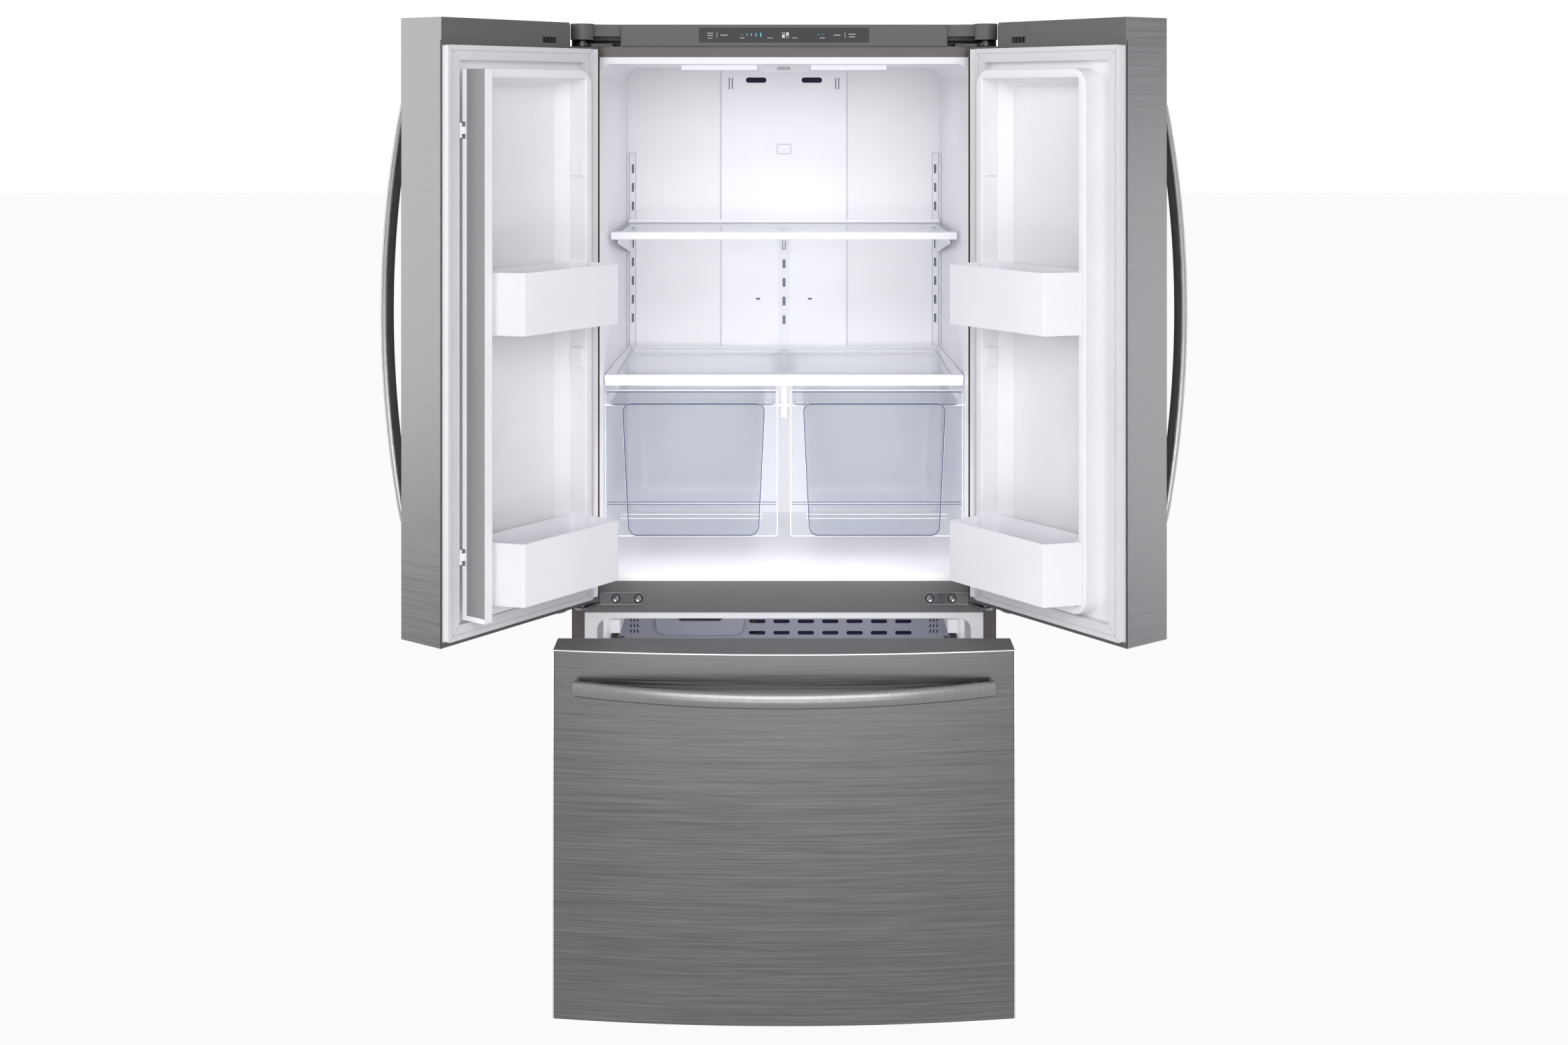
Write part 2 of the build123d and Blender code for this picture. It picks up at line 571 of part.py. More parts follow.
def mid_arm_plan():
    """Plan of the lower arm: an eye round the pin and a web back to the plate."""
    eye = Pos(HINGE_X, HINGE_Y) * Circle(MID_EYE)
    root = -MID_PLATE_PLACE[0] - MID_PLATE[0] / 2
    web = make_face(
        Polyline(
            (HINGE_X - MID_EYE, HINGE_Y), (HINGE_X + MID_EYE, HINGE_Y), (root + 14, -SHEET),
            (root - 10, -SHEET), close=True,
        )
    )
    return Sketch() + eye + web


# ---------------------------------------------------------------- doors
def swung(shape):
    """A left-door piece, turned about its hinge from closed to the stored open pose."""
    return Pos(HINGE_X, HINGE_Y) * Rot(0, 0, -DOOR_OPEN) * Pos(-HINGE_X, -HINGE_Y) * shape


def hinge_recess():
    """Space in the door's top corner that clears the hinge and its cover as the door swings."""
    around = Pos(HINGE_X, HINGE_Y)
    neck_half = HINGE_COVER_RADIUS + SWING_GAP
    swing = math.hypot(HINGE_INSET, HINGE_FORWARD) + SWING_GAP
    hub = around * Circle(neck_half)
    neck = Pos(0, swing / 2) * Rectangle(2 * neck_half, swing)
    closed = around * neck
    opened = around * Rot(0, 0, DOOR_STOP) * neck
    turn = math.radians(DOOR_STOP + 70)
    sweep = make_face(
        Polyline(
            (0, 0), (0, 2 * swing), (-2 * swing, 2 * swing), (-2 * swing, 2 * swing * math.sin(turn)),
            (2 * swing * math.cos(turn), 2 * swing * math.sin(turn)), close=True,
        )
    )
    swept = around * (Circle(swing) & (Sketch() + sweep))
    pocket = make_face(
        Polyline((0, -neck_half), (neck_half / 2, -neck_half), (HINGE_POCKET, HINGE_FORWARD / 4),
                 (HINGE_POCKET, HINGE_FORWARD), (0, HINGE_FORWARD), close=True)
    )
    plan = hub + closed + opened + swept + around * pocket
    return Pos(0, 0, CASE_HEIGHT - TOP_CAP + 4) * extrude(plan, TOP_CAP)


def cap_slot():
    """Slot in the inner face of the top cap, beside the hinge, for the door's wiring."""
    place, length, height = CAP_SLOT
    low = TOP_NOTCH + SWING_GAP
    return block(
        (-HALF + place, -HALF + place + length), (INNER_FACE - 12, INNER_FACE + 1), (low, low + height)
    )


def make_door():
    """Every piece of the closed left door except its flap, as node name: solids."""
    outline = front_outline(-HALF, FREE_EDGE, (HINGE_CORNER, FRONT_CORNER))
    height = (DOOR_BOTTOM, CASE_HEIGHT)
    recess = hinge_recess()
    pin_hole = upright(PIN_RADIUS + PIN_PLAY, HINGE_X, HINGE_Y, (TOP_NOTCH - 24, CASE_HEIGHT))
    low_hole = upright(PIN_RADIUS + PIN_PLAY, HINGE_X, HINGE_Y, (0, DOOR_BOTTOM + 16))
    skin = front_skin(outline, height) - recess
    inside = offset(outline, amount=-SHEET)
    solid = front_prism(inside, height)
    liner_zone = (DOOR_BOTTOM + BOTTOM_CAP, CASE_HEIGHT - TOP_CAP)
    core_back = INNER_FACE - LINER_PLATE
    front_space = block((-HALF, HALF), (-HALF, core_back), liner_zone)
    boss = upright(PIN_RADIUS + 5, HINGE_X, HINGE_Y, (TOP_NOTCH - 26, liner_zone[1]))
    core = (solid & front_space) - boss - low_hole - door_pan(LINER)
    top_zone = block((-HALF, HALF), (-HALF, INNER_FACE), (liner_zone[1], CASE_HEIGHT))
    top_cap = (solid & top_zone) + boss - recess - pin_hole - cap_slot()
    bottom_zone = block((-HALF, HALF), (-HALF, INNER_FACE), (DOOR_BOTTOM, liner_zone[0]))
    bottom_cap = (solid & bottom_zone) - low_hole
    place, width, depth, drop = STOP_TAB
    stop = block(
        (-HALF + place, -HALF + place + width), (INNER_FACE - 31 - depth, INNER_FACE - 31),
        (DOOR_BOTTOM - drop, DOOR_BOTTOM),
    )
    bottom_cap = bottom_cap + fillet(stop.edges().filter_by(Axis.Z), 4)
    seal_x = (-HALF + GASKET_HINGE_SIDE, FREE_EDGE - GASKET_FREE_SIDE)
    return {
        "door_panel": [skin],
        "door_core": [core],
        "door_caps": [top_cap, bottom_cap],
        "door_liner": [make_door_liner(core_back, liner_zone)],
        "door_gasket": [make_gasket(seal_x, (liner_zone[0] + 2, liner_zone[1]))],
        "door_handle": [make_door_handle(outline)],
        "door_bins": [make_bin(UPPER_BIN), make_bin(LOWER_BIN)],
    }


def ring(x, z, y, width, radius, inner_radius):
    """A rectangular frame seen from the front, between the outer limits x and z."""
    middle = (x[0] + x[1]) / 2
    outer = front_slab(x[1] - x[0], z, y, radius)
    inner = front_slab(
        x[1] - x[0] - 2 * width, (z[0] + width, z[1] - width), (y[0] - 1, y[1] + 1), inner_radius
    )
    return Pos(middle, 0, 0) * (outer - inner)


def make_gasket(x, z):
    """Soft magnetic seal with a bellows groove, just clear of the cabinet when the front is closed."""
    top = -SHEET - SEAL_GAP
    seal = ring(x, z, (INNER_FACE, top), GASKET_WIDTH, 3, 1.5)
    inset = GASKET_WIDTH / 3
    groove_x = (x[0] + inset, x[1] - inset)
    groove_z = (z[0] + inset, z[1] - inset)
    return seal - ring(groove_x, groove_z, (top - 1.5, top + 1), 2, 1.5, 0.8)


def door_pan(wall):
    """The inner panel inside the dyke lies back in the door: its hollow, grown by wall."""
    width = DYKE_X[1] - DYKE_X[0] - 2 * DYKE_WALL
    height = DYKE_Z[1] - DYKE_Z[0] - 2 * DYKE_WALL
    centre = ((DYKE_X[0] + DYKE_X[1]) / 2, (DYKE_Z[0] + DYKE_Z[1]) / 2)
    sections = []
    for y, draft, corner in ((INNER_FACE, 0, FRONT_CORNER), (INNER_FACE - PAN_DEPTH - wall, PAN_DRAFT, DYKE_WALL)):
        plane = Plane(origin=(centre[0], y, centre[1]), x_dir=(1, 0, 0), z_dir=(0, 1, 0))
        grown = 2 * (wall - draft)
        sections.append(plane * RectangleRounded(width + grown, height + grown, corner + wall))
    return loft(sections)


def make_door_liner(core_back, zone):
    """Formed inner panel: a pan inside the raised dyke that carries the bins on its lugs."""
    plate = block((-HALF + LINER_INSET, FREE_EDGE - LINER_INSET), (core_back, INNER_FACE), zone)
    raised = (INNER_FACE, INNER_FACE + DYKE_HEIGHT)
    dyke = ring(DYKE_X, DYKE_Z, raised, DYKE_WALL, DYKE_CORNER, FRONT_CORNER)
    rounded = dyke.edges().group_by(Axis.Y)[-1]
    dyke = fillet(rounded, FRONT_CORNER)
    thick, deep, tall = LUG
    lugs = []
    for rise in LUG_HEIGHTS:
        z = FRIDGE_FLOOR + rise
        for x in (DYKE_X[0] + DYKE_WALL, DYKE_X[1] - DYKE_WALL - thick):
            lug = block((x, x + thick), (raised[0] + 8, raised[0] + 8 + deep), (z - tall / 2, z + tall / 2))
            lugs.append(lug)
    return merged([plate + door_pan(LINER) + dyke] + lugs) - door_pan(0)


def bin_plan(inset):
    """Plan of a door bin: a back between the dyke walls and a wider front that leans in."""
    side = DYKE_WALL + BIN_GAP + inset
    back = INNER_FACE + BIN_BACK_GAP + inset
    crest = INNER_FACE + DYKE_HEIGHT + BIN_GAP + inset
    front = INNER_FACE + BIN_DEPTH - inset
    left, right = DYKE_X[0] + 2 + inset, DYKE_X[1] - 6 - inset
    return [
        (DYKE_X[0] + side, back), (DYKE_X[1] - side, back), (DYKE_X[1] - side, crest), (right, crest),
        (right - BIN_LEAN, front), (left, front), (left, crest), (DYKE_X[0] + side, crest),
    ]


def make_bin(bottom):
    """Door bin, open at the top."""
    outer = plan_prism(bin_plan(0), (bottom, bottom + BIN_HEIGHT))
    front_edges = outer.edges().filter_by(Axis.Z).sort_by(Axis.Y)[-2:]
    outer = fillet(front_edges, 3)
    inner = plan_prism(bin_plan(BIN_WALL), (bottom + BIN_WALL, bottom + BIN_HEIGHT + 1))
    return outer - inner


def bow_radius(length, bow):
    """Radius of an arc of that length across which stands out by the bow."""
    return ((length / 2) ** 2 + bow ** 2) / (2 * bow)


def bowed_bar(length, bow):
    """A bowed bar along Z: its ends at Y = 0, its middle in front of them by the bow."""
    radius = bow_radius(length, bow)
    turn = math.degrees(2 * math.asin(length / 2 / radius))
    section = Pos(0, -radius) * Ellipse(HANDLE_HEIGHT / 2, HANDLE_DEPTH / 2)
    bar = revolve(section, Axis.X, turn)
    return Pos(0, radius - bow, 0) * Rot(-turn / 2, 0, 0) * bar


def make_handle(length, bow, front):
    """Bowed bar with a post near each end that runs back to the surface at the depth front."""
    radius = bow_radius(length, bow)
    place = length / 2 - HANDLE_POST_INSET
    post_front = radius - bow - math.sqrt(radius ** 2 - place ** 2)
    post_back = HANDLE_STANDOFF + HANDLE_POST_SINK
    post = Rot(90, 0, 0) * Cylinder(HANDLE_POST_RADIUS, post_back - post_front)
    posts = [Pos(0, (post_front + post_back) / 2, side * place) * post for side in (-1, 1)]
    return Pos(0, front - HANDLE_STANDOFF, 0) * merged([bowed_bar(length, bow)] + posts)


def make_door_handle(outline):
    """The closed left door's handle, its posts cut to the bowed front."""
    x = FREE_EDGE - DOOR_HANDLE_INSET
    handle = make_handle(DOOR_HANDLE_LENGTH, DOOR_HANDLE_BOW, front_y(x))
    handle = Pos(x, 0, DOOR_HANDLE_CENTRE) * handle
    return handle - front_prism(outline, (DOOR_BOTTOM, CASE_HEIGHT))


def flap_eye(radius, reach, z):
    """An eye round the flap's pivot with a web that runs reach along X and Y from it."""
    x, y = FLAP_PIVOT
    eye = Pos(x, y) * Circle(radius)
    web = make_face(
        Polyline((x - radius, y), (x + radius, y), (x + reach[0], y + reach[1]),
                 (x + reach[0] - 2 * radius, y + reach[1]), close=True)
    )
    return Pos(0, 0, z[0]) * extrude(Sketch() + eye + web, z[1] - z[0])


def make_flap():
    """Centre mullion flap, unfolded across the gap behind both gaskets, and its steel face."""
    start = -FLAP_REACH
    body = block((start, start + FLAP_WIDTH), (FLAP_FRONT, FLAP_FRONT + FLAP_THICKNESS), FLAP_Z)
    body = fillet(body.edges().filter_by(Axis.Z).sort_by(Axis.Y)[-2:], 3)
    plate = block(
        (start + FLAP_MARGIN, start + FLAP_WIDTH), (FLAP_FRONT, FLAP_FRONT + SHEET),
        (FLAP_Z[0] + FLAP_FOOT, FLAP_Z[1]),
    )
    body = body - plate
    eyes = []
    for z in FLAP_HINGES:
        eyes.append(flap_eye(FLAP_EYE, (8, 10), (z - FLAP_EYE_HALF, z + FLAP_EYE_HALF)))
    relief = [
        block((start - 1, start + 9), (FLAP_FRONT - 1, FLAP_FRONT + 6), (z - 14, z + 14))
        for z in FLAP_HINGES
    ]
    for space in relief:
        body = body - space
    hole = upright(FLAP_PIN + PIN_PLAY, *FLAP_PIVOT, (0, CASE_HEIGHT))
    return merged([body] + eyes) - hole, plate


def make_flap_forks():
    """Forks on the left door's liner that hold the flap's eyes, each with its pin."""
    x, y = FLAP_PIVOT
    forks = []
    for z in FLAP_HINGES:
        low = (z - FLAP_EYE_HALF - 6, z - FLAP_EYE_HALF - RUNNING_GAP)
        high = (z + FLAP_EYE_HALF + RUNNING_GAP, z + FLAP_EYE_HALF + 6)
        for ear in (low, high):
            stem = block((x - FLAP_EYE, x + FLAP_EYE), (INNER_FACE, y), ear)
            forks.append(stem + upright(FLAP_EYE, x, y, ear))
        forks.append(upright(FLAP_PIN, x, y, (low[0], high[1])))
    return forks


def folded(shape):
    """A flap piece turned from unfolded to folded back against the door."""
    x, y = FLAP_PIVOT
    return Pos(x, y) * Rot(0, 0, 90) * Pos(-x, -y) * shape


def save_doors():
    """Write both doors: the left one swung open, the right one its mirror image."""
    pieces = make_door()
    for name, solids in pieces.items():
        right = [mirrored(swung(solid)) for solid in solids]
        if name == "door_liner":
            solids = [merged(solids + make_flap_forks())]
        save(f"{name}_left", *[swung(solid) for solid in solids])
        save(f"{name}_right", *right)
    body, plate = make_flap()
    save("mullion_flap", swung(folded(body)))
    save("flap_seal_plate", swung(folded(plate)))


# ---------------------------------------------------------------- freezer drawer
def pulled(shape, travel=DRAWER_OUT):
    """A drawer piece, moved from closed to the stored half-open pose."""
    return Pos(0, -travel, 0) * shape


def make_drawer_front():
    """Skin, core, end caps, inner panel, gasket and handle of the drawer front."""
    outline = front_outline(-HALF, HALF, (FRONT_CORNER, FRONT_CORNER))
    height = (DRAWER_BOTTOM, DRAWER_TOP)
    inside = front_prism(offset(outline, amount=-SHEET), height)
    skin = front_skin(outline, height)
    save("drawer_panel", pulled(skin))
    liner_back = INNER_FACE - LINER_PLATE
    middle = (DRAWER_BOTTOM + BOTTOM_CAP, DRAWER_TOP - BOTTOM_CAP)
    save("drawer_core", pulled(inside & block((-HALF, HALF), (-HALF, liner_back), middle)))
    caps = [
        inside & block((-HALF, HALF), (-HALF, INNER_FACE), zone)
        for zone in ((DRAWER_BOTTOM, middle[0]), (middle[1], DRAWER_TOP))
    ]
    save("drawer_caps", *[pulled(cap) for cap in caps])
    edge = HALF - LINER_INSET
    plate = block((-edge, edge), (liner_back, INNER_FACE), middle)
    half = CAVITY_HALF - 33
    rise = (FREEZER_FLOOR + 20, SLIDE_LOW - 10)
    dyke = ring((-half, half), rise, (INNER_FACE, BASKET_FRONT - 8), 14, 30, 16)
    save("drawer_liner", pulled(plate + dyke))
    seal = HALF - FLANGE - 3
    save("drawer_gasket", pulled(make_gasket((-seal, seal), (middle[0] + 4, middle[1] - 1))))
    handle = make_handle(DRAWER_HANDLE_LENGTH, DRAWER_HANDLE_BOW, HANDLE_ROOT)
    handle = Rot(0, 90, 0) * handle
    handle = Pos(0, 0, DRAWER_TOP - DRAWER_HANDLE_DROP) * handle
    save("drawer_handle", pulled(handle - front_prism(outline, height)))


def channel(x, y, z, wall):
    """A C-shaped slide member along Y; its web is on the outer side, at the low end of x."""
    outer = block(x, y, z)
    hollow = block((x[0] + wall, x[1] + 1), (y[0] - 1, y[1] + 1), (z[0] + wall, z[1] - wall))
    return outer - hollow


def make_slides():
    """Telescopic slides: a fixed channel on each side wall, a middle channel and a carrier."""
    wall = -CAVITY_HALF
    inner = wall + SLIDE_WIDTH
    start, end = SLIDE_START, SLIDE_START + SLIDE_LENGTH
    top = SLIDE_LOW + SLIDE_HEIGHT
    fixed = channel((wall, inner), (start, end), (SLIDE_LOW, top), SLIDE_METAL)
    save("slide_rails", *both_sides(fixed))
    gap = SLIDE_METAL + RUNNING_GAP
    middle = channel(
        (wall + gap, inner), (start + 2, end - 2), (SLIDE_LOW + gap, top - gap), SLIDE_METAL
    )
    save("slide_middles", *[pulled(side, DRAWER_OUT / 2) for side in both_sides(middle)])
    inner_x = (wall + 2 * gap + SLIDE_SEAL_GAP, inner)
    inner_z = (SLIDE_LOW + 2 * gap, top - 2 * gap)
    bar = block(inner_x, (INNER_FACE, end - 4), inner_z)
    rim_bottom = BASKET_TOP - 2 - BASKET_RIM
    ledge = block(
        (inner, inner + LEDGE_WIDTH), (INNER_FACE, BASKET_BACK + 8), (rim_bottom - 4, rim_bottom - RUNNING_GAP)
    )
    save("slide_carriers", *[pulled(side) for side in both_sides(bar + ledge)])


def make_basket():
    """Deep freezer basket that hangs by its rim on the carriers."""
    half = CAVITY_HALF - BASKET_SIDE_GAP
    front, back = BASKET_FRONT, BASKET_BACK
    outer = taper_box(half, front, back, (BASKET_BOTTOM, BASKET_TOP), 0)
    inner = taper_box(half, front, back, (BASKET_BOTTOM, BASKET_TOP), BASKET_WALL)
    rim_z = (BASKET_TOP - 2 - BASKET_RIM, BASKET_TOP - 2)
    rim = block((-half - LEDGE_WIDTH, half + LEDGE_WIDTH), (front - 2, back + LEDGE_WIDTH), rim_z)
    basket = outer + rim - inner
    for row in range(2):
        for column in range(7):
            z = BASKET_BOTTOM + 130 + row * 110
            slot = front_slab(34, (z, z + 10), (front - 10, back + 10), 4.9)
            basket = basket - Pos((column - 3) * 72, 0, 0) * slot
    save("freezer_basket", pulled(basket))


def taper_box(half, front, back, z, wall):
    """A box that narrows downwards; with a wall it is the hollow inside, open at the top."""
    sections = []
    low = z[0] + wall
    high = z[1] + (1 if wall else 0)
    for height, shrink in ((low, BASKET_LEAN), (high, 0)):
        width = 2 * (half - wall - shrink)
        depth = back - front - 2 * (wall + shrink)
        plane = Plane((0, (front + back) / 2, height))
        sections.append(plane * RectangleRounded(width, depth, BASKET_CORNER - wall))
    return loft(sections)


# ---------------------------------------------------------------- fridge space
def lean_half(y):
    """Half the width of the fridge space at the depth y."""
    return CAVITY_HALF - CAVITY_DRAFT * y / CAVITY_DEPTH


def make_light():
    """Ceiling light: a middle housing and a tapered lens on each side of it."""
    width, depth, drop = LIGHT_SIZE
    front, back = LIGHT_FRONT, LIGHT_FRONT + depth
    half = width / 2
    inset, rise = LIGHT_BEVEL
    outline = make_face(
        Polyline((-half, 0), (-half, rise - drop), (inset - half, -drop), (half - inset, -drop),
                 (half, rise - drop), (half, 0), close=True)
    )
    outline = fillet(outline.vertices().group_by(Axis.Y)[0], 5)
    housing = Pos(0, 0, FRIDGE_CEILING) * extrude(Plane.XZ.offset(-back) * outline, back - front)
    sensor = block((-12, 12), (front - 1, front + 6), (FRIDGE_CEILING - 9, FRIDGE_CEILING - 3))
    save("light_housing", housing - sensor)
    lens = plan_prism(
        [(-width / 2, front + 6), (-width / 2, back - 6), (-LENS_END, back - 22), (-LENS_END, front + 22)],
        (FRIDGE_CEILING - LENS_THICKNESS, FRIDGE_CEILING),
    )
    save("light_lenses", *both_sides(lens))


def make_duct_panel():
    """Air duct cover up the middle of the back wall, with outlets, slits and a sensor grille."""
    top = FRIDGE_CEILING
    panel = front_slab(2 * DUCT_HALF, (COVER_TOP - 9, top - 1), (DUCT_FRONT, CAVITY_DEPTH), 3)
    cut = (DUCT_FRONT - 1, DUCT_FRONT + DUCT_THICKNESS - 2)
    for side in (-1, 1):
        outlet = front_slab(42, (top - 29, top - 18), cut, 5.4)
        panel = panel - Pos(side * 57, 0, 0) * outlet
        port = front_slab(9, (COVER_TOP + 95, COVER_TOP + 99), cut, 1.9)
        panel = panel - Pos(side * 53, 0, 0) * port
        for x in (106, 112):
            panel = panel - Pos(side * x, 0, 0) * block((-1, 1), cut, (top - 42, top - 19))
    line = (DUCT_FRONT - 1, DUCT_FRONT + 1)
    sensor = front_slab(29, (top - 175, top - 154), line, 4)
    sensor = sensor - front_slab(26, (top - 173.5, top - 155.5), (line[0] - 1, line[1] + 1), 3)
    save("duct_panel", panel - sensor)


def slotted(rail, x, y, z):
    """A rail with a column of hook slots between the heights z."""
    count = int((z[1] - z[0] - SLOT_HEIGHT) // SLOT_PITCH)
    for step in range(count):
        low = z[1] - SLOT_START - SLOT_HEIGHT - step * SLOT_PITCH
        rail = rail - block(x, y, (low, low + SLOT_HEIGHT))
    return rail


def make_shelf_rails():
    """Slotted steel rails: one in each rear corner and one up the middle of the duct panel."""
    z = (RAIL_START, CORNER_RAIL_TOP)
    corner = -lean_half(CAVITY_DEPTH)
    back = CAVITY_DEPTH
    rail = block((corner, corner + RAIL_WIDTH), (back - 2, back), z) + block(
        (corner, corner + 2), (back - 28, back), z
    )
    rail = slotted(rail, (corner + 7, corner + 12), (back - 3, back + 1), z)
    rail = slotted(rail, (corner - 1, corner + 3), (back - 20, back - 12), z)
    half = CENTRE_RAIL_WIDTH / 2
    zone = (RAIL_START, CENTRE_RAIL_TOP)
    centre = block((-half, half), (DUCT_FRONT - 2, DUCT_FRONT), zone)
    centre = slotted(centre, (-3, 3), (DUCT_FRONT - 3, DUCT_FRONT + 1), zone)
    save("shelf_rails", *both_sides(rail), centre)


def make_shelf():
    """Upper shelf: glass in a front and a rear trim, on steel arms hooked into the rails."""
    back = CAVITY_DEPTH - SHELF_BACK_GAP
    half = lean_half(back) - SHELF_SIDE_GAP
    front_half = lean_half(SHELF_SETBACK) - SHELF_SIDE_GAP
    deep, tall = SHELF_TRIM
    bottom = SHELF_TOP + 1 - tall
    glass = block((-half, half), (SHELF_SETBACK + 4, back - 3), (SHELF_TOP - GLASS, SHELF_TOP))
    front = block((-front_half, front_half), (SHELF_SETBACK, SHELF_SETBACK + deep), (bottom, SHELF_TOP + 1))
    front = fillet(front.edges().filter_by(Axis.X).sort_by(Axis.Y)[:2], 2.5)
    rear = block((-half, half), (back - 12, back), (SHELF_TOP - 8, SHELF_TOP - 8 + tall))
    save("shelf_glass", glass)
    save("shelf_trims", front - glass, rear - glass)
    arm = side_prism(
        [(SHELF_SETBACK + 26, bottom - 10), (SHELF_SETBACK + 26, SHELF_TOP - GLASS),
         (back - 12, SHELF_TOP - GLASS), (back - 12, SHELF_TOP - 8), (CAVITY_DEPTH - 2, SHELF_TOP - 8),
         (CAVITY_DEPTH - 2, bottom - ARM_DROP), (back - 20, bottom - ARM_DROP)],
        (-half + 2, -half + 2 + ARM_THICKNESS),
    )
    hook = side_prism(
        [(back - 12, SHELF_TOP - 8), (DUCT_FRONT - 2, SHELF_TOP - 8), (DUCT_FRONT - 2, SHELF_TOP - 60),
         (back - 4, SHELF_TOP - 52)],
        (-1.5, 1.5),
    )
    save("shelf_arms", *both_sides(arm), hook)


def make_crisper_cover():
    """Glass shelf over the crispers in a white frame, with a bar under its middle."""
    front, back = COVER_SETBACK, CAVITY_DEPTH - 12
    wide = lean_half(front) - 1.4
    narrow = lean_half(back) - 0.6
    plate_bottom = COVER_TOP - COVER_PLATE
    outer = plan_prism(
        [(-wide, front), (wide, front), (narrow, back), (-narrow, back)], (plate_bottom, COVER_TOP)
    )
    lip = block((-wide + 1, wide - 1), (front, front + COVER_BAR), (COVER_TOP - COVER_HEIGHT, plate_bottom + 2))
    half = narrow - COVER_SIDE
    hole = (front + COVER_BAR, back - COVER_SIDE)
    window = block((-half, half), hole, (plate_bottom - 1, COVER_TOP + 1))
    glass = block(
        (-half - GLASS_BED, half + GLASS_BED), (hole[0] - GLASS_BED, hole[1] + GLASS_BED),
        (COVER_TOP - GLASS, COVER_TOP),
    )
    centre = block((-6, 6), (hole[0] - 1, hole[1] + 1), (plate_bottom, COVER_TOP - GLASS))
    save("cover_frame", outer + lip - window + centre - glass)
    save("cover_glass", glass)


def make_crisper_rails():
    """Runners for the crispers' rims: one on each side wall and a T under the cover's middle."""
    front, back = COVER_SETBACK + 10, CAVITY_DEPTH - 14
    top = RIM_TOP - RIM - RUNNING_GAP
    inner = CRISPER_RIM[0] + RIM_OVERLAP
    runner = plan_prism(
        [(-lean_half(front), front), (inner, front), (inner, back), (-lean_half(back), back)],
        (top - 4, top),
    )
    web = block((-2, 2), (front + 10, back), (top - 4, COVER_TOP - COVER_PLATE))
    reach = -CRISPER_RIM[1] + RIM_OVERLAP
    flange = block((-reach, reach), (front, back), (top - 4, top))
    half = CENTRE_POST / 2
    post = block((-half, half), (front, front + 10), (top - 24, COVER_TOP - COVER_HEIGHT))
    save("crisper_rails", *both_sides(runner), merged([web, flange, post]))


def crisper_section(wall):
    """Front outline of the crisper's tapered body, shrunk by a wall; its top stays open."""
    outer = CRISPER_OUTER + CRISPER_BODY_INSET[0] + wall
    inner = CRISPER_INNER - CRISPER_BODY_INSET[1] - wall
    bottom = CRISPER_BOTTOM + wall
    top = RIM_TOP + (1 if wall else 0)
    face = Sketch() + make_face(
        Polyline((outer, top), (outer + CRISPER_LEAN, bottom), (inner - CRISPER_LEAN, bottom),
                 (inner, top), close=True)
    )
    return fillet(face.vertices().group_by(Axis.Y)[0], CRISPER_CORNER - wall)


def make_crisper():
    """Clear drawer: tapered body, running rim and a wider front panel with ribs and a grip edge."""
    front, back = CRISPER_FRONT, CRISPER_BACK
    panel_x = (CRISPER_OUTER, CRISPER_INNER)
    panel = block(panel_x, (front, front + CRISPER_PANEL), (CRISPER_BOTTOM, CRISPER_TOP))
    panel = fillet(panel.edges().filter_by(Axis.Y), 5)
    grip = block(
        (panel_x[0] + 8, panel_x[1] - 8), (front, front + GRIP_DEPTH), (CRISPER_TOP - 4, CRISPER_TOP)
    )
    rim = block(CRISPER_RIM, (front + CRISPER_PANEL, back), (RIM_TOP - RIM, RIM_TOP))
    body = extrude(Plane.XZ.offset(-back) * crisper_section(0), back - front)
    hollow_back = back - CRISPER_WALL
    hollow = extrude(
        Plane.XZ.offset(-hollow_back) * crisper_section(CRISPER_WALL), hollow_back - front - CRISPER_PANEL
    )
    frame = extrude(Plane.XZ.offset(-front - 1) * (crisper_section(0) - crisper_section(CRISPER_WALL)), 2)
    ribs = [
        block((panel_x[0] + 3, panel_x[1] - 3), (front - 1, front + 1),
              (CRISPER_BOTTOM + rise, CRISPER_BOTTOM + rise + CRISPER_RIB))
        for rise in CRISPER_RIBS
    ]
    return merged([body, panel, grip, rim, frame] + ribs) - hollow


# ---------------------------------------------------------------- freezer space
def make_freezer_back():
    """Air panel in front of the evaporator, with two rows of outlets and a rounded fan cover."""
    face = FREEZER_BACK
    panel = front_slab(2 * CAVITY_HALF, (STEP_TOP, FREEZER_CEILING), (face, face + 5), FREEZER_CORNER)
    width, height, proud = FAN_COVER
    cover_low = FREEZER_CEILING - OUTLET_DROP + 1
    cover = front_slab(width, (cover_low, cover_low + height), (face - proud, face), 20)
    intake = front_slab(92, (cover_low + 28, cover_low + 58), (face - proud - 1, face + 6), 9.9)
    panel = panel + Pos(-FAN_X, 0, 0) * cover - Pos(-FAN_X, 0, 0) * intake
    cut = (face - 1, face + 6)
    for row in range(2):
        for column in range(7):
            low = FREEZER_CEILING - OUTLET_DROP + OUTLET_PITCH[1] * row
            slot = front_slab(OUTLET[0], (low, low + OUTLET[1]), cut, OUTLET[1] / 2 - 0.1)
            panel = panel - Pos(-54 + OUTLET_PITCH[0] * column, 0, 0) * slot
    slit = Rot(0, -20, 0) * block((-1.2, 1.2), cut, (-3.6, 3.6))
    for row in range(3):
        for column in range(3):
            place = Pos(-CAVITY_HALF + 25 + 7 * column, 0, cover_low + 6 + 11 * row)
            for side in both_sides(place * slit):
                panel = panel - side
    save("freezer_back", panel)


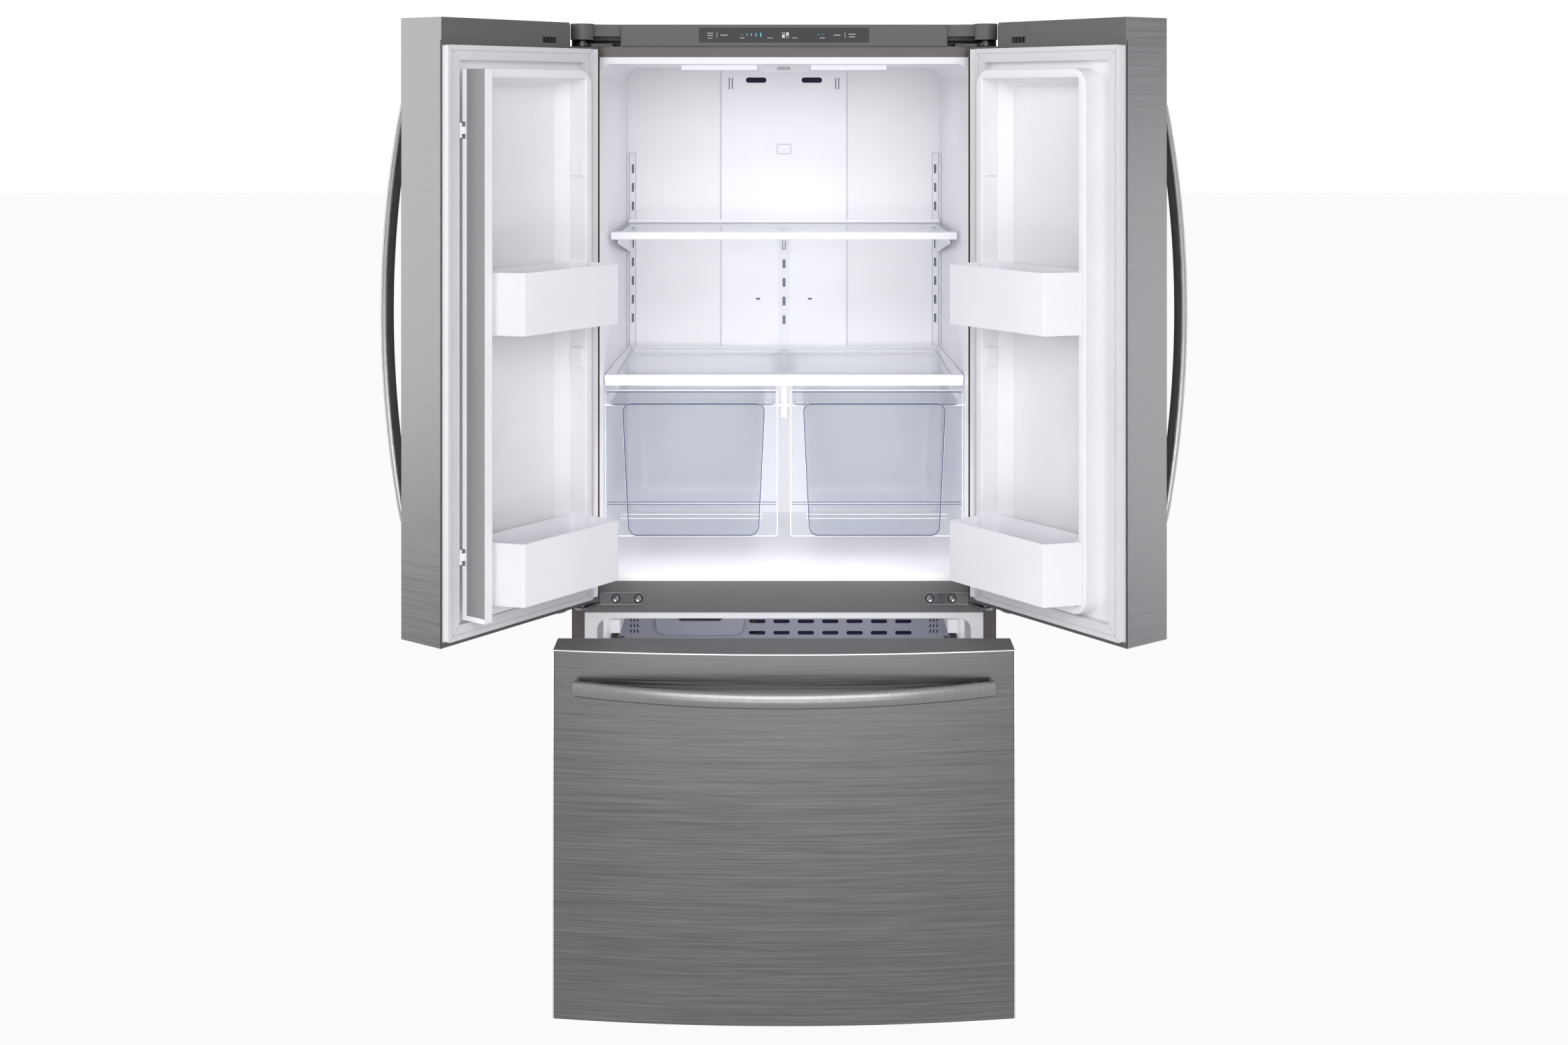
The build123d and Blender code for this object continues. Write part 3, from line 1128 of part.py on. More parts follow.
def make_cooling():
    """Evaporator and its fan behind the freezer panel; compressor and fan in the machine room."""
    half = CAVITY_HALF - EVAPORATOR_INSET
    low, high = STEP_TOP + 26, FREEZER_CEILING - 182
    fins = block((-half, half), (FREEZER_BACK + 14, CAVITY_DEPTH - 6), (low, high))
    end_plate = block((half, half + 2), (FREEZER_BACK + 10, CAVITY_DEPTH), (low - 8, high + 8))
    save("evaporator", merged([fins] + both_sides(end_plate)))
    save("evaporator_fan_motor", fan_motor(-FAN_X, FREEZER_BACK + 38, FAN_Z))
    save("evaporator_fan", fan_blades(-FAN_X, FREEZER_BACK + 18, FAN_Z, FAN_RADIUS))
    floor = CASE_BOTTOM + TRAY_THICKNESS
    x, y = COMPRESSOR_X, (MACHINE_FRONT + CASE_DEPTH) / 2
    profile = make_face(
        Polyline((0, 0), (78, 0), (82, 14), (82, 104), (70, 140), (38, 158), (0, 162), close=True)
    )
    dome = revolve(Plane.XZ * profile, Axis.Z, 360)
    dome = Pos(x, y, floor + 12) * dome
    save("compressor", merged([dome] + mounting_plate(x, y, floor)))
    save("condenser", make_condenser(floor))


def mounting_plate(x, y, floor):
    """Mounting plate of the compressor and its four rubber feet."""
    half_x, half_y = COMPRESSOR_PLATE
    plate = block((x - half_x, x + half_x), (y - half_y, y + half_y), (floor + 10, floor + 13))
    feet = [
        upright(9, x + side_x * (half_x - 14), y + side_y * (half_y - 14), (floor, floor + 10))
        for side_x in (-1, 1)
        for side_y in (-1, 1)
    ]
    return [plate] + feet


def make_condenser(floor):
    """Finned condenser block beside the compressor."""
    y = (MACHINE_FRONT + CASE_DEPTH) / 2
    start, end = CONDENSER_X
    deep, tall = CONDENSER_FINS
    tubes = [
        crossbar(3, CONDENSER_X, y + side * CONDENSER_ROWS, floor + 20 + row * 24)
        for side in (-1, 1)
        for row in range(5)
    ]
    pitch = (end - start - 20) / 5
    plates = [
        block((x, x + 2), (y - deep, y + deep), (floor, floor + tall))
        for x in (start + 10 + pitch * place for place in range(6))
    ]
    return merged(tubes + plates)


def fan_motor(x, y, z):
    """Fan motor with its three legs, axis along Y."""
    body = Pos(x, y, z) * Rot(90, 0, 0) * Cylinder(24, 24)
    shaft = Pos(x, y - 19, z) * Rot(90, 0, 0) * Cylinder(FAN_SHAFT, 16)
    leg = block((x - 4, x + 4), (y + 12, CAVITY_DEPTH), (z - 4, z + 4))
    return merged([body, shaft, leg])


def fan_blades(x, y, z, radius):
    """A hub with five twisted blades, bored to run on the motor's shaft."""
    hub = Rot(90, 0, 0) * Cylinder(12, 12)
    blades = []
    for step in range(5):
        blade = Pos((radius + 8) / 2, 0, 0) * Rot(35, 0, 0) * Box(radius - 8, 2, 24)
        blades.append(Rot(0, step * 72, 0) * blade)
    bore = Rot(90, 0, 0) * Cylinder(FAN_SHAFT + PIN_PLAY, 30)
    return Pos(x, y, z) * (merged([hub] + blades) - bore)


def make_base():
    """Base tray with its roller axles, the rollers, the toe grille and the levelling legs."""
    floor = (CASE_BOTTOM, CASE_BOTTOM + TRAY_THICKNESS)
    half = CAVITY_HALF + LINER
    tray = block((-half, half), (40, CASE_DEPTH - SHEET), floor)
    leg_x, leg_y = -half + LEG_INSET, LEG_SETBACK
    roller_x, roller_y = -half + ROLLER_INSET, CASE_DEPTH - ROLLER_FROM_BACK
    bay = (roller_x - ROLLER_WIDTH / 2 - 1, roller_x + ROLLER_WIDTH / 2 + 1)
    reach = ROLLER_RADIUS + 4
    window = block(bay, (roller_y - reach, roller_y + reach), (0, 2 * floor[1]))
    hole = upright(LEG_RADIUS + PIN_PLAY, leg_x, leg_y, (0, 2 * floor[1]))
    for cut in both_sides(window) + both_sides(hole):
        tray = tray - cut
    ears = [
        block((x, x + 3), (roller_y - 14, roller_y + 14), (8, floor[1])) for x in (bay[0] - 3, bay[1])
    ]
    axle = crossbar(AXLE_RADIUS, (bay[0] - 3, bay[1] + 3), roller_y, ROLLER_RADIUS)
    for piece in ears + [axle]:
        tray = merged([tray] + both_sides(piece))
    save("base_tray", tray)
    wheel = crossbar(
        ROLLER_RADIUS, (bay[0] + 1, bay[1] - 1), roller_y, ROLLER_RADIUS
    ) - crossbar(AXLE_RADIUS + PIN_PLAY, bay, roller_y, ROLLER_RADIUS)
    save("rear_roller_left", wheel)
    save("rear_roller_right", mirrored(wheel))
    grille = block((-half, half), (30, 36), (20, FREEZER_FLOOR - MACHINE_WALL))
    slot_half = half - 75
    for row in range(4):
        grille = grille - block((-slot_half, slot_half), (20, 40), (36 + row * 15, 42 + row * 15))
    save("toe_grille", grille)
    foot_radius, foot_height = LEG_FOOT
    leg = upright(foot_radius, leg_x, leg_y, (0, foot_height))
    leg = leg + upright(LEG_RADIUS, leg_x, leg_y, (0, floor[1] + 19))
    save("front_legs", *both_sides(leg))


def make_rear_cover():
    """Cover of the machine room, with rows of air slots."""
    edge = HALF - SHEET
    cover = block((-edge, edge), (CASE_DEPTH - SHEET, CASE_DEPTH), (CASE_BOTTOM + 4, MACHINE_TOP))
    for row in range(3):
        for column in range(5):
            low = 80 + row * 50
            slot = front_slab(70, (low, low + 8), (CASE_DEPTH - 5, CASE_DEPTH + 5), 3.9)
            cover = cover - Pos((column - 2) * 110, 0, 0) * slot
    return cover


os.makedirs("parts", exist_ok=True)

make_case()
make_insulation()
make_liners()
make_mid_rail()
make_top_cover()
make_hinges()
save_doors()
make_drawer_front()
make_slides()
make_basket()
make_light()
make_duct_panel()
make_shelf_rails()
make_shelf()
make_crisper_cover()
make_crisper_rails()
crisper = make_crisper()
save("crisper_left", crisper)
save("crisper_right", mirrored(crisper))
make_freezer_back()
make_cooling()
make_base()
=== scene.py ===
import json
import logging
import math
from dataclasses import dataclass, field
from enum import Enum

import bmesh
import bpy
from mathutils import Matrix, Vector


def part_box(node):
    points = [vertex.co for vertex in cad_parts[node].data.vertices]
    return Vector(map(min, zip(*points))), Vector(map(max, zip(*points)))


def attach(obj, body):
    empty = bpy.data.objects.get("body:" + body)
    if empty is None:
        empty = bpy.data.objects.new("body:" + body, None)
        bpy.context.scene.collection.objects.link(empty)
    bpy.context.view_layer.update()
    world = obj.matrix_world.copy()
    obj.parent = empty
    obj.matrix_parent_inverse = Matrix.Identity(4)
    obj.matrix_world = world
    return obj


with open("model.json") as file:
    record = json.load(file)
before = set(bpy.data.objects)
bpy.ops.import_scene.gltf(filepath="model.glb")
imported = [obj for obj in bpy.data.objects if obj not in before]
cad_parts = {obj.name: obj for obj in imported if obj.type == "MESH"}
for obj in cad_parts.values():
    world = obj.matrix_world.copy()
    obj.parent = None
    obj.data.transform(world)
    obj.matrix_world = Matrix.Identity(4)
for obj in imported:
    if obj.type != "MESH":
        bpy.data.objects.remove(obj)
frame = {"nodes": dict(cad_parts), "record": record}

# French door refrigerator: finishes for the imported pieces, small trim on top of them, floor,
# light and camera. Every length is in metres. Left and right are as seen from the front.

LOG = logging.getLogger("refrigerator")
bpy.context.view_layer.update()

Colour = tuple[float, float, float]
Range = tuple[float, float]
Socket = bpy.types.NodeSocket
MADE: dict[str, bpy.types.Material] = {}


def seen(red: int, green: int, blue: int) -> Colour:
    """Turn a colour as it looks on a screen into the linear one that a shader takes.

    Args:
        red: Red from 0 to 255.
        green: Green from 0 to 255.
        blue: Blue from 0 to 255.

    Returns:
        The linear colour.
    """
    shares = [value / 255 for value in (red, green, blue)]
    return tuple(s / 12.92 if s <= 0.04045 else ((s + 0.055) / 1.055) ** 2.4 for s in shares)


def about(middle: float, width: float) -> Range:
    """Give the range of that width around a middle.

    Args:
        middle: Its middle.
        width: Its width.

    Returns:
        Its two ends, the lower one first.
    """
    return (middle - width / 2, middle + width / 2)


def rectangle(middle: Vector, width: float, height: float) -> list[Vector]:
    """Give the corners of an upright rectangle that faces the front.

    Args:
        middle: Its middle.
        width: Its width along X.
        height: Its height along Z.

    Returns:
        The four corners, in order.
    """
    ways = ((-1, -1), (1, -1), (1, 1), (-1, 1))
    return [middle + Vector((x * width / 2, 0, z * height / 2)) for x, z in ways]


def pointing(middle: Vector, way: Vector) -> Matrix:
    """Place and turn a shape that is made upright.

    Args:
        middle: Where its middle goes.
        way: Where its upper end points.

    Returns:
        The move.
    """
    return Matrix.Translation(middle) @ way.to_track_quat("Z", "Y").to_matrix().to_4x4()


class Brushing(Enum):
    """Axes that the hairlines of a brushed surface run along."""

    LEVEL = (True, True, False)
    UPRIGHT = (False, False, True)
    ACROSS = (True, False, False)

    def stretch(self, along: float, across: float) -> tuple[float, float, float]:
        """Noise scale along X, Y and Z, from cells per metre along and across the hairlines."""
        return tuple(along if runs else across for runs in self.value)


# ---------------------------------------------------------------- finishes
class Recipe:
    """A node material under way, with one Principled shader."""

    noise_middle: Range = (0.25, 0.75)

    def __init__(self, name: str) -> None:
        """Start an empty material.

        Args:
            name: Name of the material.
        """
        self.material = bpy.data.materials.new(f"{name}_finish")
        self.material.use_nodes = True
        self.tree = self.material.node_tree
        self.tree.nodes.clear()
        output = self.add("ShaderNodeOutputMaterial")
        self.shader = self.add("ShaderNodeBsdfPrincipled")
        self.tree.links.new(self.shader.outputs["BSDF"], output.inputs["Surface"])
        self.place = self.add("ShaderNodeTexCoord").outputs["Object"]

    def add(self, kind: str) -> bpy.types.Node:
        """Add a node of that kind."""
        return self.tree.nodes.new(kind)

    def constant(self, **values: float | tuple[float, ...]) -> None:
        """Set numbers and colours on the shader's own sockets, named with _ for a space."""
        for name, value in values.items():
            self.shader.inputs[name.replace("_", " ")].default_value = value

    def feed(self, socket: Socket, name: str) -> None:
        """Link a node's output to one of the shader's sockets."""
        self.tree.links.new(socket, self.shader.inputs[name])

    def noise(self, stretch: tuple[float, float, float], detail: float) -> Socket:
        """Add noise with its own scale along each axis.

        Args:
            stretch: Cells per metre along X, Y and Z.
            detail: Octaves of finer noise.

        Returns:
            The noise's value.
        """
        mapping = self.add("ShaderNodeMapping")
        mapping.inputs["Scale"].default_value = stretch
        noise = self.add("ShaderNodeTexNoise")
        noise.inputs["Scale"].default_value = 1.0
        noise.inputs["Detail"].default_value = detail
        self.tree.links.new(self.place, mapping.inputs["Vector"])
        self.tree.links.new(mapping.outputs["Vector"], noise.inputs["Vector"])
        return noise.outputs["Fac"]

    def speckle(self, cells: float, detail: float) -> Socket:
        """Add noise with the same cells per metre along each axis."""
        return self.noise((cells,) * 3, detail)

    def spread(self, value: Socket, low: float, high: float) -> Socket:
        """Map the middle half of a noise's range to a range of numbers.

        Args:
            value: The noise.
            low: Number at its low end.
            high: Number at its high end.

        Returns:
            The mapped value.
        """
        ramp = self.add("ShaderNodeMapRange")
        ends = (*self.noise_middle, low, high)
        for name, end in zip(("From Min", "From Max", "To Min", "To Max"), ends):
            ramp.inputs[name].default_value = end
        self.tree.links.new(value, ramp.inputs["Value"])
        return ramp.outputs["Result"]

    def blend(self, first: Socket, second: Socket, share: float) -> Socket:
        """Mix two numbers.

        Args:
            first: One number.
            second: The other.
            share: Share of the second.

        Returns:
            The mixed number.
        """
        mix = self.add("ShaderNodeMix")
        mix.data_type = "FLOAT"
        mix.inputs["Factor"].default_value = share
        self.tree.links.new(first, mix.inputs["A"])
        self.tree.links.new(second, mix.inputs["B"])
        return mix.outputs["Result"]

    def shade(self, value: Socket, colour: Colour, swing: float) -> Socket:
        """Vary a colour around itself.

        Args:
            value: The noise that varies it.
            colour: The middle colour.
            swing: Share by which it goes darker and lighter.

        Returns:
            The varied colour.
        """
        mix = self.add("ShaderNodeMix")
        mix.data_type = "RGBA"
        mix.inputs["A"].default_value = (*[c * (1 - swing) for c in colour], 1)
        mix.inputs["B"].default_value = (*[min(c * (1 + swing), 1) for c in colour], 1)
        self.tree.links.new(self.spread(value, 0, 1), mix.inputs["Factor"])
        return mix.outputs["Result"]

    def bump(self, value: Socket, height: float) -> None:
        """Raise the surface where a noise is high.

        Args:
            value: The noise.
            height: How far it is raised.
        """
        bump = self.add("ShaderNodeBump")
        bump.inputs["Strength"].default_value = 1.0
        bump.inputs["Distance"].default_value = height
        self.tree.links.new(value, bump.inputs["Height"])
        self.feed(bump.outputs["Normal"], "Normal")


@dataclass(frozen=True)
class Finish:
    """A colour and a roughness, and how far both vary over the surface."""

    name: str
    colour: Colour
    rough: float
    contrast: float = 0.03
    polish: Range = (0.9, 1.1)

    def material(self) -> bpy.types.Material:
        """Make the material once, and give the same one each time.

        Returns:
            The material.
        """
        if self.name not in MADE:
            recipe = Recipe(self.name)
            self.mix(recipe)
            MADE[self.name] = recipe.material
        return MADE[self.name]

    def mix(self, recipe: Recipe) -> None:
        """Make the material's nodes."""
        raise NotImplementedError

    def vary(self, recipe: Recipe, pattern: Socket) -> None:
        """Let colour and roughness follow a pattern.

        Args:
            recipe: The material.
            pattern: The noise that they follow.
        """
        smooth, dull = self.polish
        recipe.feed(recipe.shade(pattern, self.colour, self.contrast), "Base Color")
        recipe.feed(recipe.spread(pattern, self.rough * smooth, self.rough * dull), "Roughness")


@dataclass(frozen=True)
class Moulding(Finish):
    """Moulded plastic or rubber: faint mottling and a fine grain."""

    contrast: float = 0.025
    polish: Range = (0.88, 1.12)
    mottle: float = 7.0
    grain: float = 1400.0
    depth: float = 0.00002
    gloss: float = 0.5

    def mix(self, recipe: Recipe) -> None:
        """Make the nodes of plastic or rubber.

        Args:
            recipe: The material under way.
        """
        self.vary(recipe, recipe.speckle(self.mottle, detail=3))
        recipe.constant(Specular_IOR_Level=self.gloss)
        recipe.bump(recipe.speckle(self.grain, detail=2), self.depth)


@dataclass(frozen=True)
class Paint(Finish):
    """Baked paint on sheet steel, with a slight orange peel under a clear coat."""

    mottle: float = 5.0
    peel: float = 420.0
    depth: float = 0.00005
    coat: float = 0.3
    coat_rough: float = 0.15

    def mix(self, recipe: Recipe) -> None:
        """Make the nodes of paint.

        Args:
            recipe: The material under way.
        """
        self.vary(recipe, recipe.speckle(self.mottle, detail=3))
        recipe.constant(Coat_Weight=self.coat, Coat_Roughness=self.coat_rough)
        recipe.bump(recipe.speckle(self.peel, detail=1), self.depth)


@dataclass(frozen=True)
class BrushedSteel(Finish):
    """Stainless steel with hairlines, wider bands and short streaks that run one way.

    Hairs, bands and streaks are cells per metre along and across the brushing. The shares say
    how much of the bands, and then of the streaks, goes into the pattern.
    """

    contrast: float = 0.10
    polish: Range = (0.8, 1.25)
    brushing: Brushing = Brushing.LEVEL
    hairs: Range = (1.5, 900)
    bands: Range = (0.8, 70)
    streaks: Range = (8, 520)
    band_share: float = 0.18
    streak_share: float = 0.45
    relief: float = 0.00001

    def mix(self, recipe: Recipe) -> None:
        """Make the nodes of brushed steel.

        Args:
            recipe: The material under way.
        """
        hairs = recipe.noise(self.brushing.stretch(*self.hairs), detail=3)
        bands = recipe.noise(self.brushing.stretch(*self.bands), detail=2)
        streaks = recipe.noise(self.brushing.stretch(*self.streaks), detail=1)
        wide = recipe.blend(hairs, bands, self.band_share)
        lines = recipe.blend(wide, streaks, self.streak_share)
        self.vary(recipe, recipe.spread(lines, 0.0, 1.0))
        recipe.constant(Metallic=1.0)
        recipe.bump(hairs, self.relief)


@dataclass(frozen=True)
class BareMetal(Finish):
    """Plated, cast or drawn metal with small spots of different tone."""

    contrast: float = 0.12
    polish: Range = (0.75, 1.3)
    spot: float = 90.0
    depth: float = 0.00003

    def mix(self, recipe: Recipe) -> None:
        """Make the nodes of spotted metal.

        Args:
            recipe: The material under way.
        """
        spots = recipe.speckle(self.spot, detail=4)
        self.vary(recipe, spots)
        recipe.constant(Metallic=1.0)
        recipe.bump(spots, self.depth)


@dataclass(frozen=True)
class Clear(Finish):
    """Glass or clear plastic, clearest where it is seen straight on."""

    polish: Range = (0.7, 1.3)
    haze: float = 12.0
    body: float = 0.12
    rim: float = 0.6
    falloff: float = 0.25
    index: float = 1.5

    def mix(self, recipe: Recipe) -> None:
        """Make the nodes of glass.

        Args:
            recipe: The material under way.
        """
        self.vary(recipe, recipe.speckle(self.haze, detail=2))
        slant = recipe.add("ShaderNodeLayerWeight")
        slant.inputs["Blend"].default_value = self.falloff
        cover = recipe.add("ShaderNodeMapRange")
        cover.inputs["To Min"].default_value = self.body
        cover.inputs["To Max"].default_value = self.rim
        recipe.tree.links.new(slant.outputs["Facing"], cover.inputs["Value"])
        recipe.feed(cover.outputs["Result"], "Alpha")
        recipe.constant(IOR=self.index)


@dataclass(frozen=True)
class Glow(Finish):
    """A frosted cover or printed mark with a little light of its own."""

    contrast: float = 0.02
    frost: float = 300.0
    strength: float = 0.5

    def mix(self, recipe: Recipe) -> None:
        """Make the nodes of a frosted light.

        Args:
            recipe: The material under way.
        """
        colour = recipe.shade(recipe.speckle(self.frost, detail=2), self.colour, self.contrast)
        recipe.feed(colour, "Base Color")
        recipe.feed(colour, "Emission Color")
        recipe.constant(Emission_Strength=self.strength, Roughness=self.rough)


CASE_PAINT = Paint("case_paint", seen(80, 71, 71), 0.45, coat=0.15)
RAIL_PAINT = Paint("rail_paint", seen(106, 104, 105), 0.5, coat=0.05)
WHITE_PAINT = Paint("white_paint", seen(238, 239, 243), 0.35)
BLACK_PAINT = Paint("black_paint", seen(24, 24, 25), 0.4)
ENAMEL = Paint("black_enamel", seen(22, 22, 23), 0.3, coat=0.6)
FLAP_GREY = Paint("flap_grey", seen(140, 138, 140), 0.55, coat=0.0)

GALVANISED = BareMetal("galvanised_sheet", seen(186, 188, 190), 0.45, spot=60, contrast=0.08)
ZINC = BareMetal("zinc_plate", seen(150, 151, 153), 0.34, spot=40, contrast=0.05)
BRIGHT_ZINC = BareMetal("hinge_plate", seen(134, 133, 135), 0.34, spot=30, contrast=0.06)
# Painted shade: a dark metal for strips and rings put where only shadow falls.
PAINTED_SHADE_ZINC = BareMetal("painted_shade_zinc", seen(74, 74, 75), 0.4, spot=50, contrast=0.06)
SCREW_STEEL = BareMetal("screw_steel", seen(186, 186, 188), 0.28, spot=80, contrast=0.06)
ALUMINIUM = BareMetal("aluminium_fins", seen(195, 197, 199), 0.4, spot=200)
COPPER = BareMetal("copper_tube", seen(176, 112, 82), 0.35, spot=50)

FINE_RELIEF = 0.000002
FRONT_STEEL = BrushedSteel("front_steel", seen(109, 107, 109), 0.36, contrast=0.15)
BAR_STEEL_UPRIGHT = BrushedSteel(
    "bar_steel_upright", seen(150, 149, 151), 0.3, 0.015,
    brushing=Brushing.UPRIGHT, relief=FINE_RELIEF,
)
BAR_STEEL_LEVEL = BrushedSteel(
    "bar_steel_level", seen(136, 135, 137), 0.3, 0.015,
    brushing=Brushing.ACROSS, relief=FINE_RELIEF,
)
# Painted highlight: a light steel for strips that stand in for the light caught along edges and
# rims.
PAINTED_HIGHLIGHT_STEEL = BrushedSteel("painted_highlight_steel", seen(222, 222, 223), 0.25, 0.03, relief=FINE_RELIEF)

LINER = Moulding("liner_plastic", seen(244, 243, 246), 0.32, grain=900, depth=0.00001)
WHITE_PLASTIC = Moulding("white_plastic", seen(246, 246, 250), 0.36)
COVER_PLASTIC = Moulding("cover_plastic", seen(99, 98, 99), 0.5, gloss=0.3)
STOP_PLASTIC = Moulding("stop_plastic", seen(186, 186, 188), 0.45)
BLACK_PLASTIC = Moulding("black_plastic", seen(34, 34, 36), 0.5)
FREEZER_PANEL = Moulding("freezer_panel", seen(172, 174, 188), 0.42)
# Painted shade: dark and grey sheets set behind vents and slots where only shadow is.
PAINTED_VENT_SHADE = Moulding("painted_vent_shade", seen(30, 32, 58), 0.6, gloss=0.2)
PAINTED_SLOT_SHADE = Moulding("painted_slot_shade", seen(122, 126, 144), 0.6, gloss=0.2)
SEAM_GREY = Moulding("seam_grey", seen(178, 177, 186), 0.5)
SENSOR_GREY = Moulding("sensor_window", seen(196, 197, 204), 0.3)
DISPLAY = Moulding(
    "display_panel", seen(62, 61, 64), 0.45, grain=300, depth=FINE_RELIEF, gloss=0.2
)
SEAL_RUBBER = Moulding(
    "seal_rubber", seen(222, 221, 225), 0.55, grain=250, depth=0.000001, gloss=0.35
)
SEAL_LINE = Moulding("seal_line", seen(186, 184, 188), 0.6, gloss=0.2)
FOOT_RUBBER = Moulding("foot_rubber", seen(62, 62, 64), 0.65)
FOAM = Moulding("insulating_foam", seen(230, 220, 180), 0.9, grain=500, depth=0.0002, gloss=0.2)

GLASS = Clear("shelf_glass", seen(220, 230, 242), 0.05, body=0.06, rim=0.3)
CLEAR_PLASTIC = Clear("clear_plastic", seen(222, 231, 250), 0.08, body=0.075, rim=0.26)
# Painted shade in the plastic's blue tint, for walls seen end on.
CLEAR_PAINTED_SHADE = Clear("clear_plastic_painted_shade", seen(48, 66, 108), 0.35, body=0.8, rim=0.92)
# Painted highlight on the clear plastic's rims and ribs.
CLEAR_PAINTED_HIGHLIGHT = Clear("clear_plastic_painted_highlight", seen(250, 251, 255), 0.15, body=0.6, rim=0.8)

LENS = Glow("light_lens", seen(246, 248, 252), 0.4, strength=0.3)
MARK_WHITE = Glow("mark_white", seen(206, 208, 210), 0.5, strength=0.1)
MARK_BLUE = Glow("mark_blue", seen(96, 196, 214), 0.5, strength=0.2)


# ---------------------------------------------------------------- making pieces
@dataclass(frozen=True)
class PanHead:
    """Proportions of a screw's head: shares of its radius, and of its height for the drive."""

    height: float = 0.5
    top_radius: float = 0.8
    rim: float = 0.4
    drive_depth: float = 0.6
    sides: int = 24


class Workpiece:
    """A new piece under way: a bmesh that becomes one object riding on a body."""

    head: PanHead = PanHead()
    bevel_steps: int = 2
    corner_steps: int = 6
    bow_steps: int = 48

    def __init__(self, name: str, body: str, finish: Finish, slot: str) -> None:
        """Start an empty piece.

        Args:
            name: Name of the object.
            body: Body that it moves with.
            finish: Its finish.
            slot: The record's material slot that it belongs to; it is kept on the piece but not
                used.
        """
        self.name = name
        self.body = body
        self.finish = finish
        self.slot = slot
        self.mesh = bmesh.new()

    def block(self, x: Range, y: Range, z: Range, round_by: float = 0.0) -> None:
        """Add a box that fills a range along each axis.

        Args:
            x: Lowest and highest place along X.
            y: The same along Y.
            z: The same along Z.
            round_by: Bevel of its edges.
        """
        low, high = (Vector(corner) for corner in zip(x, y, z))
        place = Matrix.Translation((low + high) / 2) @ Matrix.Diagonal((*(high - low), 1))
        made = bmesh.ops.create_cube(self.mesh, size=1, matrix=place)["verts"]
        if round_by:
            edges = list(dict.fromkeys(edge for vert in made for edge in vert.link_edges))
            bmesh.ops.bevel(
                self.mesh, geom=edges, offset=round_by, segments=self.bevel_steps, profile=0.5,
                affect="EDGES", material=-1,
            )

    def rod(self, start: Vector, end: Vector, radius: float, sides: int) -> None:
        """Add a round rod.

        Args:
            start: Middle of one end.
            end: Middle of the other end.
            radius: Its radius.
            sides: Sides of its section.
        """
        run = end - start
        bmesh.ops.create_cone(
            self.mesh, cap_ends=True, segments=sides, radius1=radius, radius2=radius,
            depth=run.length, matrix=pointing((start + end) / 2, run),
        )

    def screw(self, seat: Vector, out: Vector, radius: float) -> None:
        """Add a pan head with a sunk drive.

        Args:
            seat: Middle of the face that it clamps on.
            out: Direction of length 1 that the head points in.
            radius: Radius of the head.
        """
        tall = radius * self.head.height
        made = bmesh.ops.create_cone(
            self.mesh, cap_ends=True, segments=self.head.sides, radius1=radius,
            radius2=radius * self.head.top_radius, depth=tall,
            matrix=pointing(seat + out * tall / 2, out),
        )["verts"]
        self.mesh.normal_update()
        faces = dict.fromkeys(face for vert in made for face in vert.link_faces)
        top = max(faces, key=lambda face: face.normal.dot(out))
        bmesh.ops.inset_individual(self.mesh, faces=[top], thickness=radius * self.head.rim)
        bmesh.ops.translate(self.mesh, verts=top.verts, vec=-out * tall * self.head.drive_depth)

    def outline(
        self, corners: list[Vector], width: float, thick: Vector, round_by: float
    ) -> None:
        """Add a raised line around a flat shape.

        Args:
            corners: Corners of the shape, in order.
            width: Width of the line, inwards.
            thick: Direction and height that it is raised by.
            round_by: Radius of the corners.
        """
        known = set(self.mesh.faces)
        verts = [self.mesh.verts.new(corner) for corner in corners]
        self.mesh.faces.new(verts)
        bmesh.ops.bevel(
            self.mesh, geom=verts, offset=round_by, segments=self.corner_steps, profile=0.5,
            affect="VERTICES", material=-1,
        )
        inner = [face for face in self.mesh.faces if face not in known]
        line = bmesh.ops.inset_region(
            self.mesh, faces=inner, thickness=width, use_boundary=True, use_even_offset=True
        )["faces"]
        bmesh.ops.delete(self.mesh, geom=inner, context="FACES_ONLY")
        raised = bmesh.ops.extrude_face_region(self.mesh, geom=line, use_keep_orig=True)["geom"]
        tops = [item for item in raised if isinstance(item, bmesh.types.BMVert)]
        bmesh.ops.translate(self.mesh, verts=tops, vec=thick)

    def bow(self, centre: Vector, radius: float, half_turn: float, section: Range) -> None:
        """Add a strip that follows a front bowed about an upright axis.

        Args:
            centre: Point on the axis, at the strip's height.
            radius: Radius of the bow.
            half_turn: Half the angle that the strip covers.
            section: Depth and height of the strip.
        """
        out = Vector((math.sin(-half_turn), -math.cos(half_turn), 0))
        along = Vector((math.cos(half_turn), math.sin(-half_turn), 0))
        turn = Matrix((out, Vector((0, 0, 1)), along)).transposed().to_4x4()
        place = Matrix.Translation(centre + out * radius) @ turn
        start = bmesh.ops.create_grid(
            self.mesh, x_segments=1, y_segments=1, size=0.5,
            matrix=place @ Matrix.Diagonal((*section, 1, 1)),
        )["verts"]
        face = start[0].link_faces[0]
        bmesh.ops.spin(
            self.mesh, geom=[*start, *face.edges, face], cent=centre, axis=(0, 0, 1),
            dvec=(0, 0, 0), angle=2 * half_turn, steps=self.bow_steps, use_merge=False,
            use_normal_flip=False, use_duplicate=False,
        )
        open_edges = [edge for edge in self.mesh.edges if edge.is_boundary]
        bmesh.ops.holes_fill(self.mesh, edges=open_edges, sides=4)

